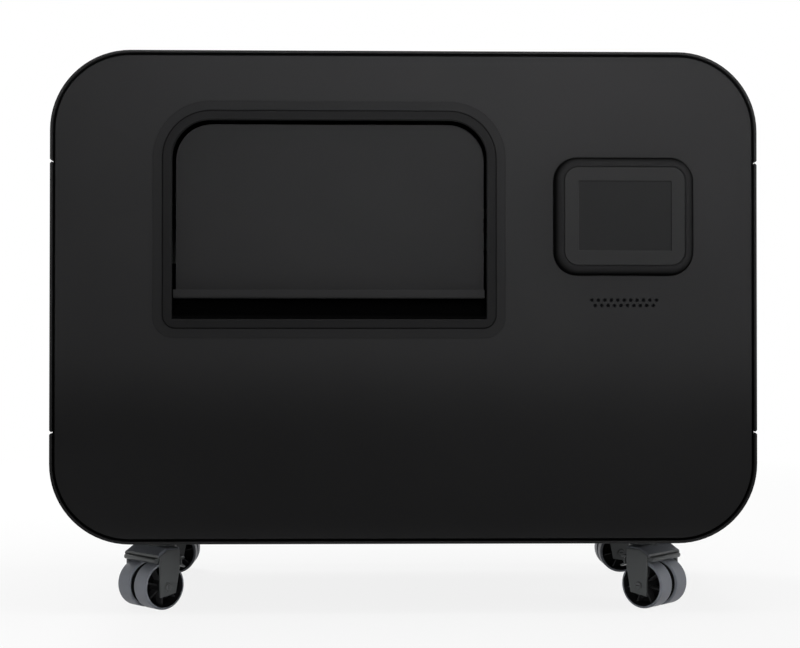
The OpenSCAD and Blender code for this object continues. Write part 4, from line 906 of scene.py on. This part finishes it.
def belt_run(a, b, radius_a, radius_b):
    """Places on a belt's inner side round two pulleys, each with its outward direction and tooth height."""
    radius_a, radius_b, reach = radius_a + BELT_PLAY, radius_b + BELT_PLAY, b - a
    heading = atan2(reach.y, reach.x)
    lean = acos((radius_a - radius_b) / reach.length)

    def outward(turn):
        return Vector((cos(heading + turn), sin(heading + turn)))

    runs = [(a, radius_a, lean, b, radius_b, lean), (b, radius_b, lean, b, radius_b, -lean),
            (b, radius_b, -lean, a, radius_a, -lean), (a, radius_a, -lean, a, radius_a, lean - tau)]
    steps = []
    for start, r0, turn0, end, r1, turn1 in runs:
        length = (end - start).length + abs(turn1 - turn0) * r0
        teeth = max(1, round(length / TOOTH_PITCH))
        for i in range(teeth):
            for share, height in ((0.05, 0.0), (0.20, TOOTH_HEIGHT), (0.55, TOOTH_HEIGHT), (0.70, 0.0)):
                along = (i + share) / teeth
                out = outward(turn0 + (turn1 - turn0) * along)
                steps.append((start.lerp(end, along) + out * (r0 + (r1 - r0) * along), out, height))
    return steps


def belt_mesh(run, width, point):
    """A belt with teeth on its inner side; point turns places in its plane and across it into X, Y, Z."""
    rings = []
    for place, out, height in run:
        inner, outer = place + out * (TOOTH_HEIGHT - height), place + out * BELT_THICK
        rings.append([point(inner, width[0]), point(outer, width[0]), point(outer, width[1]),
                      point(inner, width[1])])
    bm = bmesh.new()
    loft(bm, rings, True)
    return bm


def add_belts():
    feed_x, carriage_y = (144.0, 152.0), (105.75, 113.75)
    feed = belt_run(Vector((SHAFT_Y, SHAFT_Z)), Vector((SHAFT_Y, FEED_Z)), FEED_PULLEY_R,
                    FEED_MOTOR_PULLEY_R)
    bm = belt_mesh(feed, feed_x, lambda p, x: (x, p.x, p.y))
    stand_in("feed_belt_toothed", "feed_belt", bm)
    carriage = belt_run(Vector((CARRIAGE_X[0], RAIL_Z)), Vector((CARRIAGE_X[1], RAIL_Z)),
                        CARRIAGE_PULLEY_R, CARRIAGE_PULLEY_R)
    bm = belt_mesh(carriage, carriage_y, lambda p, y: (p.x, y, p.y))
    stand_in("carriage_belt_toothed", "carriage_belt", bm)


def toothed_pulley(bm, radius, bore, width):
    """A toothed pulley along +Z, with a flange at each end."""
    flange_t, flange_r, edge = 1.0, radius + 2.1, 0.25
    teeth = round(tau * radius / TOOTH_PITCH)
    shape = [(tau * (i + share) / teeth, depth) for i in range(teeth)
             for share, depth in ((0.08, 0.0), (0.42, 0.0), (0.52, TOOTH_HEIGHT), (0.98, TOOTH_HEIGHT))]

    def ring(r, cut, z):
        return [((r - cut * d) * cos(t), (r - cut * d) * sin(t), z) for t, d in shape]

    loft(bm, [ring(radius, 1, flange_t / 2), ring(radius, 1, width - flange_t / 2),
              ring(bore, 0, width - flange_t / 2), ring(bore, 0, flange_t / 2)], True)
    for low in (0.0, width - flange_t):
        high = low + flange_t
        turned_ring(bm, [(bore, low), *bar(flange_r, low, high, edge), (bore, high)], 64)


def add_pulleys():
    width, motor_shaft_r, shaft_bore = 11.0, 4.0, 5.0
    feed_x, carriage_y, shaft_in, shaft_edge = 142.5, 104.25, 13.0, 0.5
    places = (("feed_pulley", (feed_x, SHAFT_Y, SHAFT_Z), (1, 0, 0), FEED_PULLEY_R, shaft_bore, None),
              ("feed_motor_pulley", (feed_x, SHAFT_Y, FEED_Z), (1, 0, 0), FEED_MOTOR_PULLEY_R, motor_shaft_r,
               RIGHT_PLATE_INSIDE - shaft_in - feed_x),
              ("carriage_motor_pulley", (CARRIAGE_X[1], carriage_y, RAIL_Z), (0, 1, 0), CARRIAGE_PULLEY_R,
               motor_shaft_r, BEAM_REAR + shaft_in - carriage_y),
              ("carriage_idler_pulley", (CARRIAGE_X[0], carriage_y, RAIL_Z), (0, 1, 0), CARRIAGE_PULLEY_R,
               motor_shaft_r, None))
    for node, place, axis, radius, bore, shaft_end in places:
        bm = bmesh.new()
        with placed(bm, seat(place, axis)):
            toothed_pulley(bm, radius, bore, width)
            if shaft_end is not None:
                low, high = min(0.0, shaft_end), max(width, shaft_end)
                turned(bm, bar(bore, low, high, shaft_edge))
        stand_in(node + "_toothed", node, bm)


def add_solenoids():
    """Six coils on the head, each between two plates with its plunger on top."""
    middle_x, pitch, height, radius, edge, copper = sum(HEAD_X) / 2, 21.0, 40.0, 9.0, 0.3, 1
    plate_t, coil_r, wire_depth, turns, coil_top = 2.0, 8.2, 0.25, 26, 30.0
    cover, plunger_r, plunger_edge, nut_top, nut = 33.0, 3.2, 0.5, 34.6, (1.6, 1.4)
    profile = bar(radius, 0.0, plate_t, edge)
    coil_at = len(profile) - 1
    wire = (coil_top - plate_t) / turns
    for i in range(turns):
        profile += [(coil_r - wire_depth, plate_t + i * wire), (coil_r, plate_t + (i + 0.5) * wire)]
    profile.append((coil_r - wire_depth, coil_top))
    coil_end = len(profile) - 1
    profile += bar(radius, coil_top, cover, edge)
    profile += [(plunger_r + nut[0], cover), (plunger_r + nut[1], nut_top), (plunger_r, nut_top),
                (plunger_r, height - plunger_edge), (plunger_r - plunger_edge, height)]
    bm = bmesh.new()
    for x in around(middle_x, pitch / 2):
        for row in (-1, 0, 1):
            with placed(bm, seat((x, HEAD_Y + row * pitch, HEAD_Z[1]))):
                turned(bm, profile, 32, dict.fromkeys(range(coil_at, coil_end), copper))
    stand_in("solenoid_bank_wound", "solenoid_bank", bm, COPPER)


def add_head_fittings():
    """Flanged bushes where the rails leave the head, and screws in its front face."""
    bore_r, flange_r, flange_t, edge = 8.3, 11.5, 2.5, 0.5
    bm = bmesh.new()
    for end, x in zip((-1, 1), HEAD_X):
        for y in around(HEAD_Y, RAIL_HALF):
            with placed(bm, seat((x, y, RAIL_Z), (end, 0, 0))):
                turned_ring(bm, [(bore_r, 0.0), (flange_r, 0.0), (flange_r, flange_t - edge),
                                 (flange_r - edge, flange_t), (bore_r, flange_t)], 40)
    added("head_rail_bushes", "head", "pulley_metal", bm, BRASS)
    screw_r, screw_h, inset = 3.0, 1.8, 7.0
    bm = bmesh.new()
    for x in inside(HEAD_X, inset):
        for z in inside(HEAD_Z, inset):
            socket_screw(bm, (x, HEAD_FRONT, z), (0, -1, 0), screw_r, screw_h)
    added("head_cover_screws", "head", "hinge_steel", bm)


# Electrics on the base

SUPPLY_X = (156.5, 306.5)
BASE_TOP = 95.0


def add_power_supply():
    """A folded box with a perforated top over a black sheet of painted shade, and a terminal strip behind it.
    """
    y, top, sheet, corner, fold = (11.75, 121.75), 145.0, 1.5, 1.5, 0.3
    hole_r, pitch, border, shade_sheet_in, shade_sheet_t, shade_sheet_edge = 2.1, 7.0, 12.0, 3.0, 0.2, 0.05
    strip_x, strip_y, strip_top = (168.5, 228.5), (y[1] - 0.5, 135.75), 113.0
    bed_top, bed_in, bed_edge = 107.0, 0.2, 0.5
    ways, wall, screw_r, screw_h, black, brass = 7, 1.2, 2.8, 1.8, 1, 2
    row_pitch = pitch * sin(radians(60))
    columns = int((SUPPLY_X[1] - SUPPLY_X[0] - 2 * border) / pitch)
    rows = int((y[1] - y[0] - 2 * border) / row_pitch)
    holes = [round_loop(SUPPLY_X[0] + border + (i + 0.5 * (j % 2)) * pitch, y[0] + border + j * row_pitch,
                        hole_r, 12) for i in range(columns) for j in range(rows)]
    outline = box_loop(SUPPLY_X, y, corner, 3)
    bm = bmesh.new()
    with placed(bm, Matrix.Rotation(radians(-90), 4, "X")):
        plate(bm, outline, holes, -top, sheet - top, fold)
    stack(bm, outline, [(0.0, BASE_TOP), (0.0, top - sheet - fold), (-fold, top - sheet)])
    # Painted shade: a thin black sheet just under the top, so its holes show dark.
    block(bm, inside(SUPPLY_X, shade_sheet_in), inside(y, shade_sheet_in), (top - sheet, top - sheet + shade_sheet_t),
          shade_sheet_edge, black)
    block(bm, inside(strip_x, bed_in), inside(strip_y, bed_in), (BASE_TOP, bed_top), bed_edge, black)
    way = (strip_x[1] - strip_x[0] - wall) / ways
    for i in range(ways + 1):
        left = strip_x[0] + i * way
        block(bm, (left, left + wall), strip_y, (BASE_TOP, strip_top), slot=black)
        if i < ways:
            place = (left + (way + wall) / 2, sum(strip_y) / 2, bed_top)
            socket_screw(bm, place, UP, screw_r, screw_h, brass)
    stand_in("power_supply_perforated", "power_supply", bm, CHIP_BLACK_AND_PAINTED_SHADE, BRASS)


def add_controller_board():
    """A green board on brass posts, with its chips, connectors and capacitors."""
    y, face, thick, corner, hole_in = (-158.25, -28.25), 106.6, 1.6, 3.0, 6.0
    black, cream, tin, brass, blue = range(1, 6)
    left_x, post_r, screw_r, screw_h, edge = SUPPLY_X[0], 3.0, 2.8, 2.0, 0.4
    bm = bmesh.new()
    stack(bm, box_loop(SUPPLY_X, y, corner, 4), [(0.0, face - thick), (0.0, face)])
    for x in inside(SUPPLY_X, hole_in):
        for place in inside(y, hole_in):
            with placed(bm, seat((x, place, BASE_TOP))):
                turned(bm, [(post_r, 0.0), (post_r, face - thick - BASE_TOP)], 6, brass)
            socket_screw(bm, (x, place, face), UP, screw_r, screw_h, brass)
    chips, chip_x, chip_y, chip_pitch, side, chip_h = 3, left_x + 24.0, y[0] + 40.0, 38.0, 26.0, 3.0
    legs, leg_margin, leg_half, leg_out, leg_in, leg_h, leg_edge = 12, 3.0, 0.4, 2.0, 0.2, 0.8, 0.1
    leg_z = (face, face + leg_h)
    for i in range(chips):
        left = chip_x + i * chip_pitch
        block(bm, (left, left + side), (chip_y, chip_y + side), (face, face + chip_h), edge, black)
        for leg in range(legs):
            at = leg_margin + leg * (side - 2 * leg_margin) / (legs - 1)
            for low, high in ((-leg_out, leg_in), (side - leg_in, side + leg_out)):
                block(bm, around(left + at, leg_half), (chip_y + low, chip_y + high), leg_z, leg_edge, tin)
                block(bm, (left + low, left + high), around(chip_y + at, leg_half), leg_z, leg_edge, tin)
    plug_x, plug_pitch, plug_y, plug_h = left_x + 16.0, 32.0, (y[1] - 12.0, y[1] - 4.0), 3.0
    wall_in, wall_y, wall_z = 0.2, (y[1] - 11.8, y[1] - 10.6), (face + 1.0, face + 8.0)
    pin, pin_pitch, pin_y = [(0.6, 0.0), (0.6, 6.4), (0.3, 7.0)], 4.0, y[1] - 7.3
    for i, width in enumerate((24.0, 16.0, 16.0, 24.0)):
        span = (plug_x + i * plug_pitch, plug_x + i * plug_pitch + width)
        block(bm, span, plug_y, (face, face + plug_h), edge, cream)
        block(bm, inside(span, wall_in), wall_y, wall_z, edge, cream)
        for j in range(int(width / pin_pitch)):
            with placed(bm, seat((span[0] + (j + 0.5) * pin_pitch, pin_y, face))):
                turned(bm, pin, 8, tin)
    cans, can_x, can_pitch, can_y = 4, left_x + 24.0, 15.0, y[0] + 18.0
    can = [(5.0, 0.0), (5.0, 1.4), (4.7, 1.9), (5.0, 2.4), (5.0, 11.2), (4.6, 12.0), (4.2, 11.8)]
    for i in range(cans):
        with placed(bm, seat((can_x + i * can_pitch, can_y, face))):
            turned(bm, can, 24, dict.fromkeys(range(5), blue) | {5: tin})
    rows, columns, small_x, small_y, small_pitch, row_pitch = 3, 14, left_x + 20.0, y[0] + 76.0, 8.6, 9.0
    small_l, small_w, small_h, small_edge = 3.2, 1.6, 0.9, 0.1
    for row in range(rows):
        for i in range(columns):
            left, base = small_x + i * small_pitch, small_y + row * row_pitch
            block(bm, (left, left + small_l), (base, base + small_w), (face, face + small_h), small_edge,
                  black if i % 3 else cream)
    stand_in("controller_board_populated", "controller_board", bm, CHIP_BLACK_AND_PAINTED_SHADE, NYLON_CREAM, CAST_METAL, BRASS,
             SLEEVE_BLUE)


add_motors()
add_belts()
add_pulleys()
add_solenoids()
add_head_fittings()
add_power_supply()
add_controller_board()


# Camera, at the photograph's viewing angle

CAMERA_PLACE = Vector((-49.7, -2230.35, 339.1)) * MM
CAMERA_TILT = radians(-0.665)
CAMERA_PAN = radians(-1.251)
CAMERA_ROLL = radians(0.036)
CAMERA_LENS = 72.0
CAMERA_SENSOR = 36.0
CAMERA_CLIP = (0.05, 100.0)


def add_camera():
    data = bpy.data.cameras.new("camera")
    data.lens = CAMERA_LENS
    data.sensor_width = CAMERA_SENSOR
    data.clip_start, data.clip_end = CAMERA_CLIP
    camera = put("camera", data)
    level = Matrix(((1, 0, 0), (0, 0, -1), (0, 1, 0)))
    right, down, ahead = (Matrix.Rotation(CAMERA_ROLL, 3, "Z") @ Matrix.Rotation(CAMERA_PAN, 3, "Y")
                          @ Matrix.Rotation(CAMERA_TILT, 3, "X") @ level)
    facing = Matrix((right, -down, -ahead)).transposed()
    camera.matrix_world = Matrix.Translation(CAMERA_PLACE) @ facing.to_4x4()
    bpy.context.scene.camera = camera


# Floor, world and lamps

FLOOR_HALF = 30.0
FLOOR_PALE = (0.86, 0.86, 0.86, 1.0)
WHITE = (1.0, 1.0, 1.0, 1.0)
FILL_STRENGTH = 0.13
NEAR_SHARE = 0.86
SHADOW_REACH = (0.9, 2.6)


def seen_rays(tree):
    """1 for rays that show the background: from the camera, and through reflection and glass."""
    rays = make_node(tree, "LightPath").outputs
    total = rays["Is Camera Ray"]
    for name in ("Is Glossy Ray", "Is Transmission Ray"):
        total = make_node(tree, "Math", {0: total, 1: rays[name]}, operation="MAXIMUM").outputs[0]
    return total


def add_world():
    world = bpy.data.worlds.new("studio")
    world.use_nodes = True
    tree = world.node_tree
    strength = make_node(tree, "MapRange", {"Value": seen_rays(tree), "To Min": FILL_STRENGTH, "To Max": 1.0})
    background = tree.nodes["Background"].inputs
    plug(tree, background["Color"], WHITE)
    plug(tree, background["Strength"], strength.outputs[0])
    bpy.context.scene.world = world


def add_floor():
    mesh = bpy.data.meshes.new("floor")
    corners = [(x * FLOOR_HALF, y * FLOOR_HALF, 0) for x, y in ((-1, -1), (1, -1), (1, 1), (-1, 1))]
    mesh.from_pydata(corners, [], [(0, 1, 2, 3)])
    floor = put("floor", mesh)
    look = Look("pale_floor", roughness=0.9, specular=0.1)
    look.set("Base Color", FLOOR_PALE)
    distance = look.make("VectorMath", {0: look.place}, operation="LENGTH").outputs["Value"]
    seen = look.times(look.span(distance, NEAR_SHARE, 1.0, *SHADOW_REACH), seen_rays(look.tree))
    white = look.make("Emission", {"Color": WHITE})
    mixed = look.make("MixShader", {0: seen, 1: look.shader.outputs[0], 2: white.outputs[0]})
    plug(look.tree, look.tree.nodes["Material Output"].inputs["Surface"], mixed.outputs[0])
    mesh.materials.append(look.material)


def add_lamp(name, place, aim, size, power, spread=180.0, mirrored=True):
    """A soft box; one that isn't mirrored leaves no highlight of itself on glossy faces."""
    data = bpy.data.lights.new(name, "AREA")
    data.shape = "RECTANGLE"
    data.size, data.size_y = size
    data.energy = power
    data.spread = radians(spread)
    lamp = put(name, data)
    lamp.location = place
    lamp.rotation_euler = (Vector(aim) - Vector(place)).to_track_quat("-Z", "Y").to_euler()
    lamp.visible_glossy = mirrored


add_camera()
add_world()
add_floor()
add_lamp("front_band", (0.0, -2.9, 0.80), (0.0, -0.23, 0.74), (2.2, 0.9), 2.5, spread=3.4, mirrored=False)
add_lamp("front_key", (0.30, -2.9, 0.85), (0.30, -0.23, 1.50), (0.3, 0.3), 15.5, spread=55.5, mirrored=False)
add_lamp("front_low", (0.0, -2.9, 0.030), (0.0, -0.23, 0.030), (2.2, 0.10), 0.45, spread=2.0, mirrored=False)
add_lamp("top", (0.2, -0.2, 2.4), (0.0, 0.0, 0.7), (1.6, 1.2), 30.0)
add_lamp("right_side", (2.4, -0.9, 1.2), (0.3, 0.0, 0.4), (0.8, 1.2), 16.0)
add_lamp("rear", (-1.4, 2.4, 1.8), (0.0, 0.2, 0.4), (1.4, 1.0), 65.0)

bpy.context.scene.view_settings.view_transform = "Standard"
